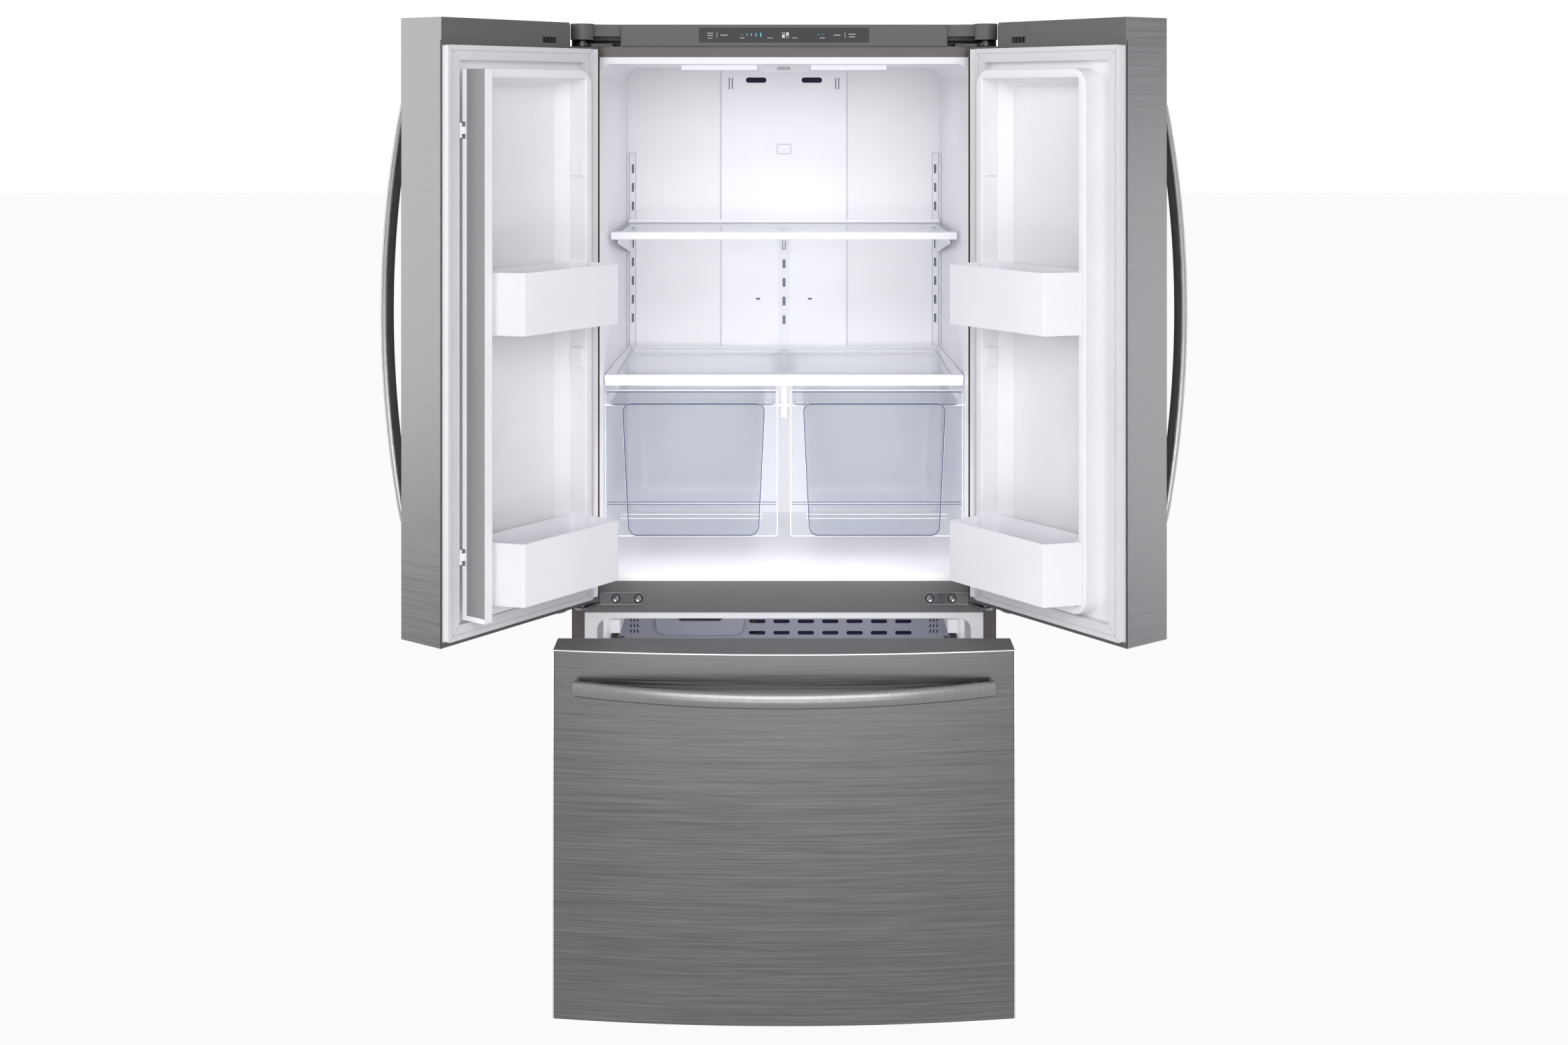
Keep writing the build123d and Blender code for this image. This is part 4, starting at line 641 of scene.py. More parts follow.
    def ship(self, turn: Matrix | None = None) -> None:
        """Make the object, dress it and let it ride on its body.

        Args:
            turn: Move to make before it is finished, if any.
        """
        if turn is not None:
            bmesh.ops.transform(self.mesh, matrix=turn, verts=self.mesh.verts)
        bmesh.ops.remove_doubles(self.mesh, verts=self.mesh.verts, dist=1e-6)
        bmesh.ops.recalc_face_normals(self.mesh, faces=self.mesh.faces)
        data = bpy.data.meshes.new(self.name)
        self.mesh.to_mesh(data)
        self.mesh.free()
        piece = bpy.data.objects.new(self.name, data)
        bpy.context.scene.collection.objects.link(piece)
        data.materials.append(self.finish.material())
        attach(piece, self.body)
        LOG.info("made %s on %s, %d faces", self.name, self.body, len(data.polygons))


class Side(Enum):
    """Left or right, seen from the front."""

    LEFT = -1
    RIGHT = 1

    def label(self) -> str:
        """Name of the side."""
        return self.name.lower()

    def mirror(self) -> Matrix:
        """Move from the left side to this one."""
        return Matrix.Diagonal((-self.value, 1, 1, 1))

    def between(self, near: float, far: float) -> Range:
        """Range on this side between two distances from the middle."""
        return tuple(sorted((self.value * near, self.value * far)))


@dataclass
class SubAssembly:
    """Pieces of one part of the refrigerator and their finishes."""

    finishes: dict[str, Finish] = field(default_factory=dict)

    def dress(self) -> None:
        """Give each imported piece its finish."""
        for node, finish in self.finishes.items():
            piece = frame["nodes"][node]
            piece.data.materials.clear()
            piece.data.materials.append(finish.material())
            LOG.info("dressed %s in %s", node, finish.name)

    def build(self) -> None:
        """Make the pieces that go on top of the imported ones."""


@dataclass(frozen=True)
class Mark:
    """One plain mark on the display, placed from the display's middle."""

    across: float
    up: float
    width: float
    height: float


@dataclass
class Cabinet(SubAssembly):
    """Case, liners, top cover and hinges.

    Its trim is the display's marks, the screws on the back and on the hinge covers, the painted
    highlight rims of the mid hinges and their screws with painted shadow rings, and the painted
    cover over the foam's edge under the freezer space.
    """

    mark_height: float = 0.0003
    icon_size: Range = (0.0050, 0.0100)
    icon_places: tuple[float, ...] = (-0.0010, 0.0060)
    icon_line: float = 0.0006
    icon_corner: float = 0.0012
    white_marks: tuple[Mark, ...] = (
        Mark(-0.1314, 0.0034, 0.0110, 0.0010),
        Mark(-0.1314, -0.0008, 0.0100, 0.0010),
        Mark(-0.1314, -0.0052, 0.0080, 0.0009),
        Mark(-0.1193, 0.0, 0.0006, 0.0105),
        Mark(-0.1069, 0.0, 0.0126, 0.0011),
        Mark(-0.0745, -0.0050, 0.0087, 0.0008),
        Mark(-0.0251, -0.0050, 0.0100, 0.0008),
        Mark(0.0193, -0.0050, 0.0100, 0.0008),
        Mark(0.0682, -0.0050, 0.0095, 0.0008),
        Mark(0.0943, 0.0, 0.0120, 0.0011),
        Mark(0.1085, 0.0, 0.0006, 0.0105),
        Mark(0.1208, 0.0018, 0.0128, 0.0010),
        Mark(0.1208, -0.0030, 0.0110, 0.0010),
        Mark(-0.0010, -0.0016, 0.0046, 0.0054),
        Mark(0.0060, 0.0020, 0.0046, 0.0050),
    )
    blue_marks: tuple[Mark, ...] = (
        Mark(-0.0745, 0.0009, 0.0011, 0.0018),
        Mark(-0.0660, 0.0009, 0.0013, 0.0034),
        Mark(-0.0579, 0.0009, 0.0014, 0.0042),
        Mark(-0.0497, 0.0009, 0.0016, 0.0056),
        Mark(-0.0413, 0.0009, 0.0018, 0.0068),
        Mark(0.0607, 0.0014, 0.0012, 0.0018),
        Mark(0.0686, 0.0014, 0.0012, 0.0014),
    )
    screw_radius: float = 0.0045
    screw_rows: int = 8
    screw_inset: float = 0.009
    screw_ends: Range = (0.03, 0.015)  # above the foot, under the top
    top_screws: tuple[float, ...] = (-0.2, 0.0, 0.2)
    cover_screw_insets: Range = (0.045, 0.03)  # from the outer side, from the back
    hinge_plate: tuple[float, float, float] = (0.091, 0.023, 0.003)  # width, height, thickness
    hinge_rise: float = 0.0255
    hinge_across: float = 0.294
    rim_width: float = 0.0009
    rim_height: float = 0.0004
    rim_play: float = 0.0002
    rim_corner: float = 0.0107
    hinge_screw_steps: Range = (0.005, -0.035)
    ring_radius: float = 0.0084
    ring_height: float = 0.0006
    hinge_screw_share: float = 0.66
    hinge_screw_lift: float = 0.0022
    sill_insets: tuple[float, float, float] = (0.023, 0.0235, 0.045)  # bar, leg's two edges
    sill_faces: Range = (0.0002, 0.0018)
    sill_drop: float = 0.026

    finishes: dict[str, Finish] = field(
        default_factory=lambda: {
            "outer_case": CASE_PAINT,
            "rear_panels": GALVANISED,
            "cabinet_insulation": FOAM,
            "fridge_liner": LINER,
            "freezer_liner": LINER,
            "mid_rail": RAIL_PAINT,
            "control_housing": COVER_PLASTIC,
            "display_panel": DISPLAY,
            "hinge_covers": COVER_PLASTIC,
            "top_hinges": BLACK_PAINT,
            "mid_hinges": BRIGHT_ZINC,
            "base_tray": GALVANISED,
            "toe_grille": COVER_PLASTIC,
            "front_legs": FOOT_RUBBER,
            "rear_roller_left": BLACK_PLASTIC,
            "rear_roller_right": BLACK_PLASTIC,
        }
    )

    def build(self) -> None:
        """Make the display's marks, the screws, the hinges' painted highlight rims and painted
        shadow rings, and the sill.
        """
        self.display()
        self.screws()
        self.hinge_trim()
        self.sill()

    def display(self) -> None:
        """Make the display's white bars and icons, and its blue ticks."""
        low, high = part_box("display_panel")
        middle = (low + high) / 2
        white = Workpiece("display_marks", "cabinet", MARK_WHITE, "display_dark")
        blue = Workpiece("display_ticks", "cabinet", MARK_BLUE, "display_dark")
        for work, marks in ((white, self.white_marks), (blue, self.blue_marks)):
            for mark in marks:
                work.block(
                    about(middle.x + mark.across, mark.width),
                    (low.y - self.mark_height, low.y),
                    about(middle.z + mark.up, mark.height),
                )
        raised = Vector((0, -self.mark_height, 0))
        for across in self.icon_places:
            icon = rectangle(Vector((middle.x + across, low.y, middle.z)), *self.icon_size)
            white.outline(icon, self.icon_line, raised, self.icon_corner)
        white.ship()
        blue.ship()

    def screws(self) -> None:
        """Make the screws around the back sheet and the one on top of each hinge cover."""
        low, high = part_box("rear_panels")
        backwards = Vector((0, 1, 0))
        edge = high.x - self.screw_inset
        first, last = low.z + self.screw_ends[0], high.z - self.screw_ends[1]
        step = (last - first) / (self.screw_rows - 1)
        seats = [
            (side.value * edge, first + step * row)
            for row in range(self.screw_rows)
            for side in Side
        ]
        seats += [(across, last) for across in self.top_screws]
        back = Workpiece("rear_screws", "cabinet", SCREW_STEEL, "galvanised")
        for across, up in seats:
            back.screw(Vector((across, high.y, up)), backwards, self.screw_radius)
        back.ship()
        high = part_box("hinge_covers")[1]
        across, depth = self.cover_screw_insets
        lids = Workpiece("hinge_cover_screws", "cabinet", SCREW_STEEL, "hinge_steel")
        for side in Side:
            seat = Vector((side.value * (high.x - across), high.y - depth, high.z))
            lids.screw(seat, Vector((0, 0, 1)), self.screw_radius)
        lids.ship()

    def hinge_trim(self) -> None:
        """Make the painted highlight rims of the mid hinges' plates, and their screws with a
        painted shadow ring under each.
        """
        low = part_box("mid_rail")[0]
        width, height, thickness = self.hinge_plate
        forwards = Vector((0, -1, 0))
        # The bright rims are painted highlights, and the dark rings under the screws are painted
        # shadow.
        rims = Workpiece("mid_hinge_painted_highlights", "cabinet", PAINTED_HIGHLIGHT_STEEL, "hinge_steel")
        rings = Workpiece("mid_hinge_painted_shadow_rings", "cabinet", PAINTED_SHADE_ZINC, "hinge_steel")
        heads = Workpiece("mid_hinge_screws", "cabinet", SCREW_STEEL, "hinge_steel")
        for side in Side:
            across = side.value * self.hinge_across
            middle = Vector((across, low.y - thickness, low.z + self.hinge_rise))
            rims.outline(
                rectangle(middle, width, height - self.rim_play), self.rim_width,
                forwards * self.rim_height, self.rim_corner,
            )
            for step in self.hinge_screw_steps:
                seat = middle + Vector((side.value * step, 0, 0))
                rings.rod(seat, seat + forwards * self.ring_height, self.ring_radius, sides=32)
                heads.screw(
                    seat + forwards * self.hinge_screw_lift, forwards,
                    self.ring_radius * self.hinge_screw_share,
                )
        for work in (rims, rings, heads):
            work.ship()

    def sill(self) -> None:
        """Make the painted cover of the case's front edge under the freezer space."""
        low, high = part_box("outer_case")
        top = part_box("freezer_liner")[0].z
        reach, outer, inner = (high.x - inset for inset in self.sill_insets)
        depth = tuple(low.y + face for face in self.sill_faces)
        work = Workpiece("sill_cover", "cabinet", CASE_PAINT, "case_paint")
        work.block((-reach, reach), depth, (top - self.sill_drop, top))
        for side in Side:
            work.block(side.between(inner, outer), depth, (low.z, top - self.sill_drop))
        work.ship()


@dataclass(frozen=True)
class Opening:
    """A pair of openings in the duct cover, one on each side, that rise from a given level."""

    across: float
    width: float
    height: float
    rise: float


@dataclass(frozen=True)
class Line:
    """A level line across a crisper's front.

    It starts at a height above the crisper's foot or, where that is negative, at a drop under its
    top. It stays clear of the front's outer and inner edge.
    """

    up: float
    height: float
    outer: float
    inner: float


@dataclass
class FridgeInterior(SubAssembly):
    """Light, air duct, shelf, crispers and their cover."""

    backing: float = 0.0006
    vent_depth: float = 0.003
    duct_lip: float = 0.001
    outlet: Opening = Opening(0.057, 0.044, 0.014, -0.0235)
    slit: Opening = Opening(0.109, 0.012, 0.025, -0.0305)
    port: Opening = Opening(0.053, 0.010, 0.006, 0.097)
    rail_thickness: float = 0.002
    slot_inset: float = 0.0095
    slot_width: float = 0.008
    middle_slot_width: float = 0.006
    slot_ends: float = 0.002
    slot_above_shelf: float = 0.012
    seam_width: float = 0.001
    seam_faces: Range = (-0.0003, 0.0002)
    duct_seam_inset: float = 0.0006
    duct_seam_ends: Range = (0.010, 0.004)  # above the foot, under the top
    sensor_drop: float = 0.1635
    sensor_size: Range = (0.029, 0.021)
    sensor_line: float = 0.0009
    sensor_corner: float = 0.004
    rail_seam_insets: Range = (0.0155, 0.0028)
    rail_seam_ends: float = 0.001
    window_half: float = 0.0118
    window_faces: Range = (0.0015, 0.0025)
    window_drops: Range = (0.0088, 0.0032)
    crisper_insets: Range = (0.030, 0.022)  # outer wall, inner wall
    crisper_lean: float = 0.0115
    crisper_corner: float = 0.017
    rim_drop: float = 0.024
    line_proud: float = 0.0006
    line_depth: float = 0.001
    outline_depth: float = 0.0014
    outline_width: float = 0.0026
    panel_line: float = 0.0016
    panel_corner: float = 0.005
    shine_width: float = 0.0008
    shine_lift: float = 0.0002
    # Painted shade: dark lines where the clear walls are seen end on.
    edge_lines: tuple[Line, ...] = (
        Line(0.062, 0.0011, 0.003, 0.003),
        Line(0.0585, 0.0011, 0.003, 0.003),
        Line(-0.005, 0.0013, 0.002, 0.002),
        Line(-0.0275, 0.0013, 0.010, 0.006),
    )
    # Painted highlights along the crisper's rims and ribs.
    shine_lines: tuple[Line, ...] = (
        Line(0.040, 0.0010, 0.028, 0.028),
        Line(0.0325, 0.0010, 0.028, 0.028),
        Line(0.06025, 0.0009, 0.003, 0.003),
        Line(-0.0025, 0.0017, 0.004, 0.004),
    )

    finishes: dict[str, Finish] = field(
        default_factory=lambda: {
            "light_housing": WHITE_PLASTIC,
            "light_lenses": LENS,
            "duct_panel": WHITE_PLASTIC,
            "shelf_rails": WHITE_PAINT,
            "shelf_glass": GLASS,
            "shelf_trims": WHITE_PLASTIC,
            "shelf_arms": WHITE_PAINT,
            "cover_frame": WHITE_PLASTIC,
            "cover_glass": GLASS,
            "crisper_rails": WHITE_PLASTIC,
            "crisper_left": CLEAR_PLASTIC,
            "crisper_right": CLEAR_PLASTIC,
        }
    )

    def build(self) -> None:
        """Make the painted shade behind vents and slots, the joint lines, the sensor's window and
        the crispers' painted shade and highlight lines.
        """
        self.vents()
        self.rail_slots()
        self.duct_seams()
        self.rail_seams()
        self.light_sensor()
        for side in Side:
            self.crisper_lines(side)

    def vents(self) -> None:
        """Back the duct's outlets with a dark sheet, and its slits and ports with a grey one, as
        painted shade inside the openings.
        """
        low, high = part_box("duct_panel")
        face = low.y + self.vent_depth
        top = high.z + self.duct_lip
        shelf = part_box("cover_frame")[1].z
        dark = Workpiece("duct_vent_painted_shade", "cabinet", PAINTED_VENT_SHADE, "freezer_panel")
        grey = Workpiece("duct_slit_painted_shade", "cabinet", PAINTED_SLOT_SHADE, "freezer_panel")
        for work, opening, level in (
            (dark, self.outlet, top), (grey, self.slit, top), (grey, self.port, shelf)
        ):
            for side in Side:
                work.block(
                    about(side.value * opening.across, opening.width),
                    (face, face + self.backing),
                    about(level + opening.rise, opening.height),
                )
        dark.ship()
        grey.ship()

    def rail_slots(self) -> None:
        """Back the slots of the corner rails and of the duct's middle rail with a grey sheet of
        painted shade.
        """
        low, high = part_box("shelf_rails")
        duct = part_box("duct_panel")[0].y
        bottom = low.z + self.slot_ends
        work = Workpiece("rail_slot_painted_shade", "cabinet", PAINTED_SLOT_SHADE, "white_steel")
        for side in Side:
            work.block(
                about(side.value * (high.x - self.slot_inset), self.slot_width),
                (high.y - 2 * self.backing, high.y - self.backing),
                (bottom, high.z - self.slot_ends),
            )
        work.block(
            about(0, self.middle_slot_width),
            (duct - 2 * self.backing, duct - self.backing),
            (bottom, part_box("shelf_glass")[0].z - self.slot_above_shelf),
        )
        work.ship()

    def duct_seams(self) -> None:
        """Draw the duct cover's joints and the outline of its sensor grille."""
        low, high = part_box("duct_panel")
        proud, sunk = self.seam_faces
        bottom, top = self.duct_seam_ends
        work = Workpiece("duct_seams", "cabinet", SEAM_GREY, "freezer_panel")
        for side in Side:
            work.block(
                about(side.value * (high.x - self.duct_seam_inset), self.seam_width),
                (low.y + proud, low.y + sunk),
                (low.z + bottom, high.z - top),
            )
        grille = rectangle(Vector((0, low.y, high.z - self.sensor_drop)), *self.sensor_size)
        work.outline(grille, self.sensor_line, Vector((0, proud, 0)), self.sensor_corner)
        work.ship()

    def rail_seams(self) -> None:
        """Draw both edges and the upper end of each corner rail."""
        low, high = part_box("shelf_rails")
        depth = tuple(high.y - self.rail_thickness + face for face in self.seam_faces)
        end = high.z - self.rail_seam_ends
        places = [high.x - inset for inset in self.rail_seam_insets]
        work = Workpiece("rail_seams", "cabinet", SEAM_GREY, "white_steel")
        for side in Side:
            for place in places:
                across = about(side.value * place, self.seam_width)
                work.block(across, depth, (low.z + self.rail_seam_ends, end))
            work.block(side.between(*places), depth, (end - self.seam_width, end))
        work.ship()

    def light_sensor(self) -> None:
        """Put the small window into the light housing's front."""
        low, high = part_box("light_housing")
        work = Workpiece("light_sensor_window", "cabinet", SENSOR_GREY, "lens")
        work.block(
            (-self.window_half, self.window_half),
            tuple(low.y + face for face in self.window_faces),
            tuple(high.z - drop for drop in self.window_drops),
        )
        work.ship()

    def crisper_lines(self, side: Side) -> None:
        """Draw painted shade in the plastic's blue tint along the edges of one clear crisper where
        its walls are seen end on, and its painted highlight lines.

        Args:
            side: Which crisper.
        """
        low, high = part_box("crisper_left")
        face = low.y - self.line_proud
        outer, inner = low.x + self.crisper_insets[0], high.x - self.crisper_insets[1]
        top = high.z - self.rim_drop
        corners = [
            Vector((outer, face, top)), Vector((outer + self.crisper_lean, face, low.z)),
            Vector((inner - self.crisper_lean, face, low.z)), Vector((inner, face, top)),
        ]
        lifted = [corner - Vector((0, self.shine_lift, 0)) for corner in corners]
        panel = [
            Vector((x, face, z))
            for x, z in ((low.x, high.z), (low.x, low.z), (high.x, low.z), (high.x, high.z))
        ]
        depth = Vector((0, self.outline_depth, 0))
        body = f"{side.label()}_crisper"
        edges = Workpiece(f"crisper_edges_{side.label()}", body, CLEAR_PAINTED_SHADE, "clear_plastic")
        shine = Workpiece(f"crisper_shine_{side.label()}", body, CLEAR_PAINTED_HIGHLIGHT, "clear_plastic")
        edges.outline(corners, self.outline_width, depth, self.crisper_corner)
        shine.outline(panel, self.panel_line, depth, self.panel_corner)
        shine.outline(lifted, self.shine_width, depth, self.crisper_corner)
        for work, lines in ((edges, self.edge_lines), (shine, self.shine_lines)):
            for line in lines:
                foot = (low.z if line.up > 0 else high.z) + line.up
                work.block(
                    (low.x + line.outer, high.x - line.inner),
                    (face, face + self.line_depth),
                    (foot, foot + line.height),
                )
            work.ship(side.mirror())


@dataclass
class FreezerInterior(SubAssembly):
    """Back panel, cooling parts and the drawer's slides.

    A vent zone has its left and right end, and the drop of its bottom and top under the panel's
    top.
    """

    outlet_zone: tuple[float, float, float, float] = (-0.058, 0.262, 0.154, 0.119)
    intake_zone: tuple[float, float, float, float] = (-0.216, -0.122, 0.124, 0.093)
    slit_zone: tuple[float, float, float, float] = (-0.313, -0.288, 0.150, 0.118)
    backing_start: float = 0.0025
    backing: float = 0.0006

    finishes: dict[str, Finish] = field(
        default_factory=lambda: {
            "freezer_back": FREEZER_PANEL,
            "evaporator": ALUMINIUM,
            "evaporator_fan_motor": BLACK_PLASTIC,
            "evaporator_fan": WHITE_PLASTIC,
            "compressor": ENAMEL,
            "condenser": COPPER,
            "slide_rails": ZINC,
            "slide_middles": ZINC,
            "slide_carriers": ZINC,
        }
    )

    def build(self) -> None:
        """Back the panel's outlets, slits and intake with dark sheets of painted shade."""
        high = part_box("freezer_back")[1]
        face = high.y - self.backing_start
        left, right, bottom, top = self.slit_zone
        mirrored = (-right, -left, bottom, top)
        work = Workpiece("freezer_vent_painted_shade", "cabinet", PAINTED_VENT_SHADE, "freezer_panel")
        for left, right, bottom, top in (
            self.outlet_zone, self.intake_zone, self.slit_zone, mirrored
        ):
            work.block((left, right), (face, face + self.backing), (high.z - bottom, high.z - top))
        work.ship()


@dataclass
class Door(SubAssembly):
    """One fridge door; its trim is made on the closed left door, then turned and mirrored.

    Lengths across start at the cabinet's hinge edge, and depths at its front.
    """

    side: Side = Side.LEFT
    inner_face: float = -0.016
    seal_face: float = -0.0015
    seal_insets: Range = (0.032, 0.004)  # from the hinge edge, from the door's free side
    seal_width: float = 0.024
    mitre_end: float = 0.001
    mitre_radius: float = 0.0004
    stop_across: Range = (0.051, 0.072)
    stop_depth: Range = (0.063, 0.047)
    stop_height: float = 0.013
    stop_skin: float = 0.0006
    stop_top_gap: float = 0.0002
    stop_round: float = 0.003
    slot_across: Range = (0.108, 0.142)
    slot_drop: float = 0.036
    slot_height: float = 0.010
    slot_play: float = 0.0003
    slot_depth: Range = (0.0115, 0.004)
    slot_round: float = 0.0008
    rib_places: tuple[float, ...] = (0.25, 0.5, 0.75)
    rib_width: float = 0.002
    rib_front: float = 0.001
    free_gap: float = 0.002
    edge_line_width: float = 0.0008
    edge_line_depth: Range = (0.0026, 0.0002)
    edge_line_end: float = 0.001

    def __post_init__(self) -> None:
        """Work out the names of this door's pieces."""
        finishes = {
            "door_panel": FRONT_STEEL,
            "door_core": FOAM,
            "door_caps": COVER_PLASTIC,
            "door_liner": LINER,
            "door_gasket": SEAL_RUBBER,
            "door_handle": BAR_STEEL_UPRIGHT,
            "door_bins": WHITE_PLASTIC,
        }
        self.finishes = {
            f"{node}_{self.side.label()}": finish for node, finish in finishes.items()
        }

    def swing(self) -> Matrix:
        """Work out the move from the closed left door to this door as it stands open.

        Returns:
            The move.
        """
        joints = frame["record"]["behaviour"]["joints"]
        joint = next(item for item in joints if item["name"] == "left_door_hinge")
        axis = Vector((joint["pos_m"][0], joint["pos_m"][1], 0))
        opened = Matrix.Rotation(math.radians(joint["range_deg"][0]), 4, "Z")
        return self.side.mirror() @ Matrix.Translation(axis) @ opened @ Matrix.Translation(-axis)

    def trim(self, name: str, finish: Finish, slot: str) -> Workpiece:
        """Start a piece of this door's trim, whose name gets the side."""
        label = self.side.label()
        return Workpiece(f"{name}_{label}", f"{label}_door", finish, slot)

    def build(self) -> None:
        """Make the seal's mitres, the stop's cover, the cap's dark slot and the painted shadow line
        along the free edge.
        """
        self.seal_mitres()
        self.stop()
        self.cap_slot()
        self.edge_line()

    def seal_mitres(self) -> None:
        """Draw the joint across each corner of the seal."""
        hinge_edge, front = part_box("outer_case")[0].xy
        low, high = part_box("door_gasket_left")
        near, far = hinge_edge + self.seal_insets[0], -self.seal_insets[1]
        work = self.trim("seal_mitres", SEAL_LINE, "gasket_white")
        for x, z, way in (
            (near, low.z, Vector((1, 0, 1))), (near, high.z, Vector((1, 0, -1))),
            (far, low.z, Vector((-1, 0, 1))), (far, high.z, Vector((-1, 0, -1))),
        ):
            corner = Vector((x, front + self.seal_face, z))
            start, end = self.mitre_end, self.seal_width - self.mitre_end
            work.rod(corner + way * start, corner + way * end, self.mitre_radius, sides=8)
        work.ship(self.swing())

    def stop(self) -> None:
        """Put the light cover on the stop under the door."""
        hinge_edge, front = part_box("outer_case")[0].xy
        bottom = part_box("door_panel_left")[0].z
        near, far = (hinge_edge + across for across in self.stop_across)
        outside, inside = (front - depth for depth in self.stop_depth)
        work = self.trim("door_stop", STOP_PLASTIC, "white_plastic")
        work.block(
            (near - self.stop_skin, far + self.stop_skin),
            (outside - self.stop_skin, inside + self.stop_skin),
            (bottom - self.stop_height - self.stop_skin, bottom - self.stop_top_gap),
            self.stop_round,
        )
        work.ship(self.swing())

    def cap_slot(self) -> None:
        """Fill the slot in the top cap with a dark box and three ribs."""
        low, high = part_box("outer_case")
        inner = low.y + self.inner_face
        near, far = (low.x + across for across in self.slot_across)
        deep, shallow = (inner - depth for depth in self.slot_depth)
        floor = high.z - self.slot_drop
        ceiling = floor + self.slot_height
        work = self.trim("cap_slot", BLACK_PLASTIC, "hinge_black")
        work.block(
            (near + self.slot_play, far - self.slot_play),
            (deep, shallow),
            (floor + self.slot_play, ceiling - self.slot_play),
            self.slot_round,
        )
        for share in self.rib_places:
            work.block(
                about(near + (far - near) * share, self.rib_width),
                (shallow, inner - self.rib_front),
                (floor + self.rib_front, ceiling - self.rib_front),
            )
        work.ship(self.swing())

    def edge_line(self) -> None:
        """Draw a painted shadow line in the gap along the door's free edge."""
        low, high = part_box("outer_case")
        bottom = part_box("door_panel_left")[0].z
        front, back = (low.y + self.inner_face - depth for depth in self.edge_line_depth)
        work = self.trim("door_edge_painted_shadow", PAINTED_SHADE_ZINC, "front_steel")
        work.block(
            about(-self.free_gap, self.edge_line_width),
            (front, back),
            (bottom + self.edge_line_end, high.z - self.slot_drop - self.edge_line_end),
        )
        work.ship(self.swing())


@dataclass
class MullionFlap(SubAssembly):
    """The folding flap on the left door."""

    finishes: dict[str, Finish] = field(
        default_factory=lambda: {"mullion_flap": WHITE_PLASTIC, "flap_seal_plate": FLAP_GREY}
    )


@dataclass
class FreezerDrawer(SubAssembly):
    """The drawer's front and its basket.

    The painted highlight along the edge stands off the steel by shares of its own width.
    """

    bulge: float = 0.027
    edge: float = 0.0016
    edge_drop: float = 0.35
    edge_lift: float = 0.3
    edge_reach: float = 0.7

    finishes: dict[str, Finish] = field(
        default_factory=lambda: {
            "drawer_panel": FRONT_STEEL,
            "drawer_core": FOAM,
            "drawer_caps": COVER_PLASTIC,
            "drawer_liner": LINER,
            "drawer_gasket": SEAL_RUBBER,
            "drawer_handle": BAR_STEEL_LEVEL,
            "freezer_basket": WHITE_PLASTIC,
        }
    )

    def build(self) -> None:
        """Make the painted highlight, a bright strip on the bevel along the steel front's top and
        sides.
        """
        low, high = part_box("drawer_panel")
        half = (high.x - low.x) / 2
        radius = (half**2 + self.bulge**2) / (2 * self.bulge)
        centre = Vector((0, low.y + radius, high.z - self.edge * self.edge_drop))
        work = Workpiece("drawer_front_painted_highlights", "freezer_drawer", PAINTED_HIGHLIGHT_STEEL, "front_steel")
        work.bow(
            centre, radius - self.edge * self.edge_lift, math.asin(half / radius),
            (self.edge, self.edge),
        )
        corner = low.y + self.bulge
        for side in Side:
            work.block(
                about(side.value * half, 2 * self.edge * self.edge_reach),
                (corner - self.edge * self.edge_lift, corner + self.edge),
                (low.z, high.z),
            )
        work.ship()


# ---------------------------------------------------------------- studio
@dataclass(frozen=True)
class Lamp:
    """One soft lamp: where it hangs, the point that it shines at, its panel and its watts."""

    name: str
    place: tuple[float, float, float]
    aim: tuple[float, float, float]
    size: Range
    power: float

    def hang(self) -> None:
        """Put the lamp into the scene."""
        data = bpy.data.lights.new(self.name, "AREA")
        data.shape = "RECTANGLE"
        data.size, data.size_y = self.size
        data.energy = self.power
        lamp = bpy.data.objects.new(self.name, data)
        way = Vector(self.aim) - Vector(self.place)
        lamp.location = self.place
        lamp.rotation_euler = way.to_track_quat("-Z", "Y").to_euler()
        bpy.context.scene.collection.objects.link(lamp)


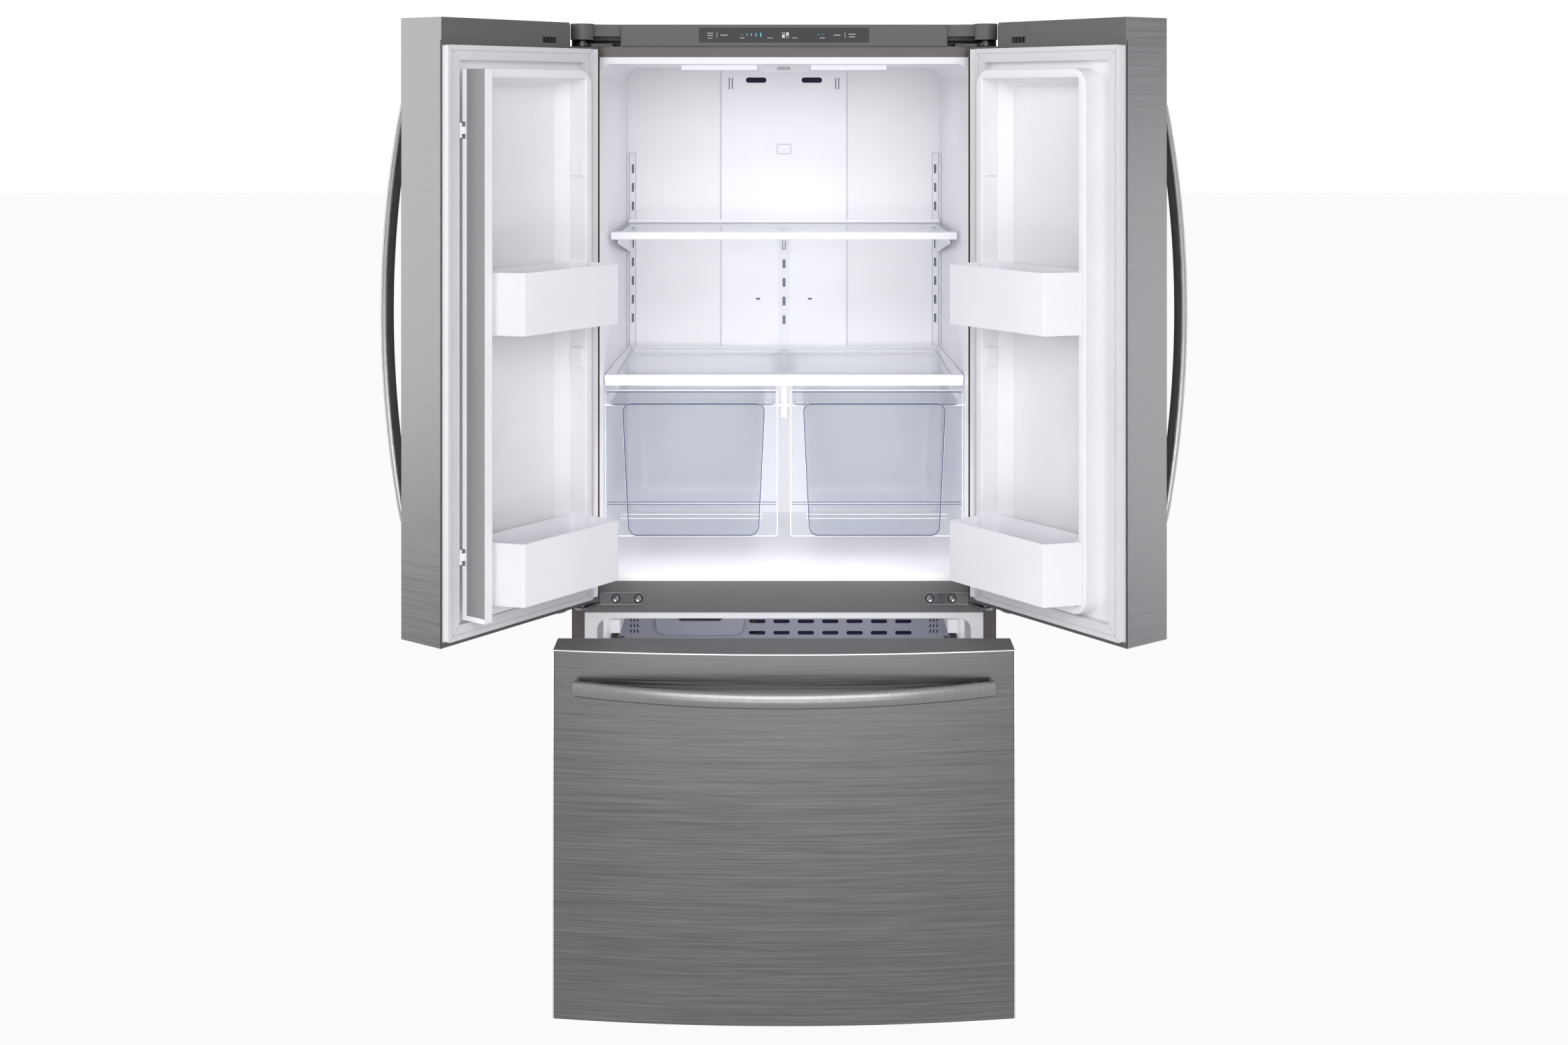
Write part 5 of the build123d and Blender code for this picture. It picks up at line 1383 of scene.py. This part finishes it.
@dataclass
class Studio:
    """Floor, light and camera."""

    floor_size: float = 60.0
    floor_drop: float = 0.0005
    floor_grey: Colour = (0.5, 0.5, 0.5)
    floor_white: float = 0.95
    even_colour: Colour = (0.98, 0.965, 1.0)
    even_strength: float = 0.36
    eye: tuple[float, float, float] = (0.0, -3.569, 1.616)
    lens: float = 44.458
    sensor_width: float = 36.0
    shift: float = -0.2696
    lamps: tuple[Lamp, ...] = (
        Lamp("front_lamp", (0, -4.2, 2.4), (0, 0, 0.9), (4.4, 2.4), 105),
        Lamp("low_front_lamp", (0, -2.3, 0.34), (0, -0.4, 0.7), (2.0, 0.4), 6),
        Lamp("left_lamp", (-3.6, -0.6, 1.65), (0, -0.5, 1.2), (2.4, 2.8), 61),
        Lamp("right_lamp", (3.6, -0.6, 0.8), (0, -0.5, 0.75), (2.4, 1.6), 26),
        Lamp("fridge_lamp", (0, 0.16, 1.655), (0, 0.16, 0.9), (0.5, 0.12), 0.2),
        Lamp("shelf_lamp", (0, -0.16, 1.22), (0, 0.4, 1.2), (0.6, 0.6), 0.33),
        Lamp("crisper_lamp", (0, -0.17, 0.91), (0, 0.4, 0.88), (0.6, 0.26), 0.84),
        Lamp("crisper_top_lamp", (0, 0.17, 1.086), (0, 0.17, 0.8), (0.62, 0.3), 0.28),
        Lamp("freezer_lamp", (0, 0.0, 0.665), (0, 0.4, 0.5), (0.6, 0.03), 0.55),
    )

    def seen_directly(self, tree: bpy.types.NodeTree) -> Socket:
        """Tell rays that show a surface from the light's own rays.

        The first are the camera's rays, reflections and what shows through glass.

        Args:
            tree: Node tree to add the test to.

        Returns:
            One for a ray that shows the surface, and none for a ray that lights something.
        """
        path = tree.nodes.new("ShaderNodeLightPath")
        total = path.outputs["Is Camera Ray"]
        for name in ("Is Glossy Ray", "Is Transmission Ray"):
            either = tree.nodes.new("ShaderNodeMath")
            either.operation = "MAXIMUM"
            tree.links.new(total, either.inputs[0])
            tree.links.new(path.outputs[name], either.inputs[1])
            total = either.outputs["Value"]
        return total

    def split(self, tree: bpy.types.NodeTree, lit: Socket, shown: Socket, share: Socket) -> Socket:
        """Mix two shaders: one for the light's own rays, one for rays that show the surface.

        Args:
            tree: Node tree to add the mix to.
            lit: Shader for the light's own rays.
            shown: Shader for rays that show the surface.
            share: Share of the second one.

        Returns:
            The mixed shader.
        """
        mix = tree.nodes.new("ShaderNodeMixShader")
        tree.links.new(share, mix.inputs["Fac"])
        tree.links.new(lit, mix.inputs[1])
        tree.links.new(shown, mix.inputs[2])
        return mix.outputs["Shader"]

    def floor_material(self) -> bpy.types.Material:
        """Make a surface that looks nearly white and keeps a soft shadow.

        Returns:
            The material.
        """
        material = bpy.data.materials.new("studio_floor")
        material.use_nodes = True
        tree = material.node_tree
        tree.nodes.clear()
        output = tree.nodes.new("ShaderNodeOutputMaterial")
        diffuse = tree.nodes.new("ShaderNodeBsdfDiffuse")
        diffuse.inputs["Color"].default_value = (*self.floor_grey, 1)
        white = tree.nodes.new("ShaderNodeEmission")
        white.inputs["Color"].default_value = (1, 1, 1, 1)
        white.inputs["Strength"].default_value = 1.0
        scale = tree.nodes.new("ShaderNodeMath")
        scale.operation = "MULTIPLY"
        scale.inputs[1].default_value = self.floor_white
        tree.links.new(self.seen_directly(tree), scale.inputs[0])
        mixed = self.split(
            tree, diffuse.outputs["BSDF"], white.outputs["Emission"], scale.outputs["Value"]
        )
        tree.links.new(mixed, output.inputs["Surface"])
        return material

    def floor(self) -> None:
        """Lay the floor."""
        mesh = bmesh.new()
        bmesh.ops.create_grid(mesh, x_segments=1, y_segments=1, size=self.floor_size / 2)
        data = bpy.data.meshes.new("studio_floor")
        mesh.to_mesh(data)
        mesh.free()
        floor = bpy.data.objects.new("studio_floor", data)
        floor.location.z = -self.floor_drop
        bpy.context.scene.collection.objects.link(floor)
        data.materials.append(self.floor_material())

    def world(self) -> None:
        """Light everything evenly, and show white behind the object."""
        world = bpy.data.worlds.new("studio")
        bpy.context.scene.world = world
        world.use_nodes = True
        tree = world.node_tree
        tree.nodes.clear()
        output = tree.nodes.new("ShaderNodeOutputWorld")
        even = tree.nodes.new("ShaderNodeBackground")
        even.inputs["Color"].default_value = (*self.even_colour, 1)
        even.inputs["Strength"].default_value = self.even_strength
        white = tree.nodes.new("ShaderNodeBackground")
        white.inputs["Color"].default_value = (1, 1, 1, 1)
        white.inputs["Strength"].default_value = 1.0
        mixed = self.split(
            tree, even.outputs["Background"], white.outputs["Background"],
            self.seen_directly(tree),
        )
        tree.links.new(mixed, output.inputs["Surface"])

    def camera(self) -> None:
        """Set the camera up."""
        data = bpy.data.cameras.new("camera")
        data.lens = self.lens
        data.sensor_width = self.sensor_width
        data.shift_y = self.shift
        camera = bpy.data.objects.new("camera", data)
        camera.location = self.eye
        camera.rotation_euler = (math.pi / 2, 0, 0)
        bpy.context.scene.collection.objects.link(camera)
        bpy.context.scene.camera = camera

    def build(self) -> None:
        """Set up floor, world, lamps and camera."""
        self.floor()
        self.world()
        for lamp in self.lamps:
            lamp.hang()
        self.camera()


def main() -> None:
    """Build and dress the refrigerator, then the studio."""
    parts = [
        Cabinet(),
        FridgeInterior(),
        FreezerInterior(),
        Door(side=Side.LEFT),
        Door(side=Side.RIGHT),
        MullionFlap(),
        FreezerDrawer(),
    ]
    for part in parts:
        part.dress()
        part.build()
    Studio().build()
    bpy.context.scene.view_settings.view_transform = "Standard"
    LOG.info("all pieces are in place")


if __name__ == "__main__":
    logging.basicConfig(level=logging.INFO, format="%(name)s: %(message)s")
    main()
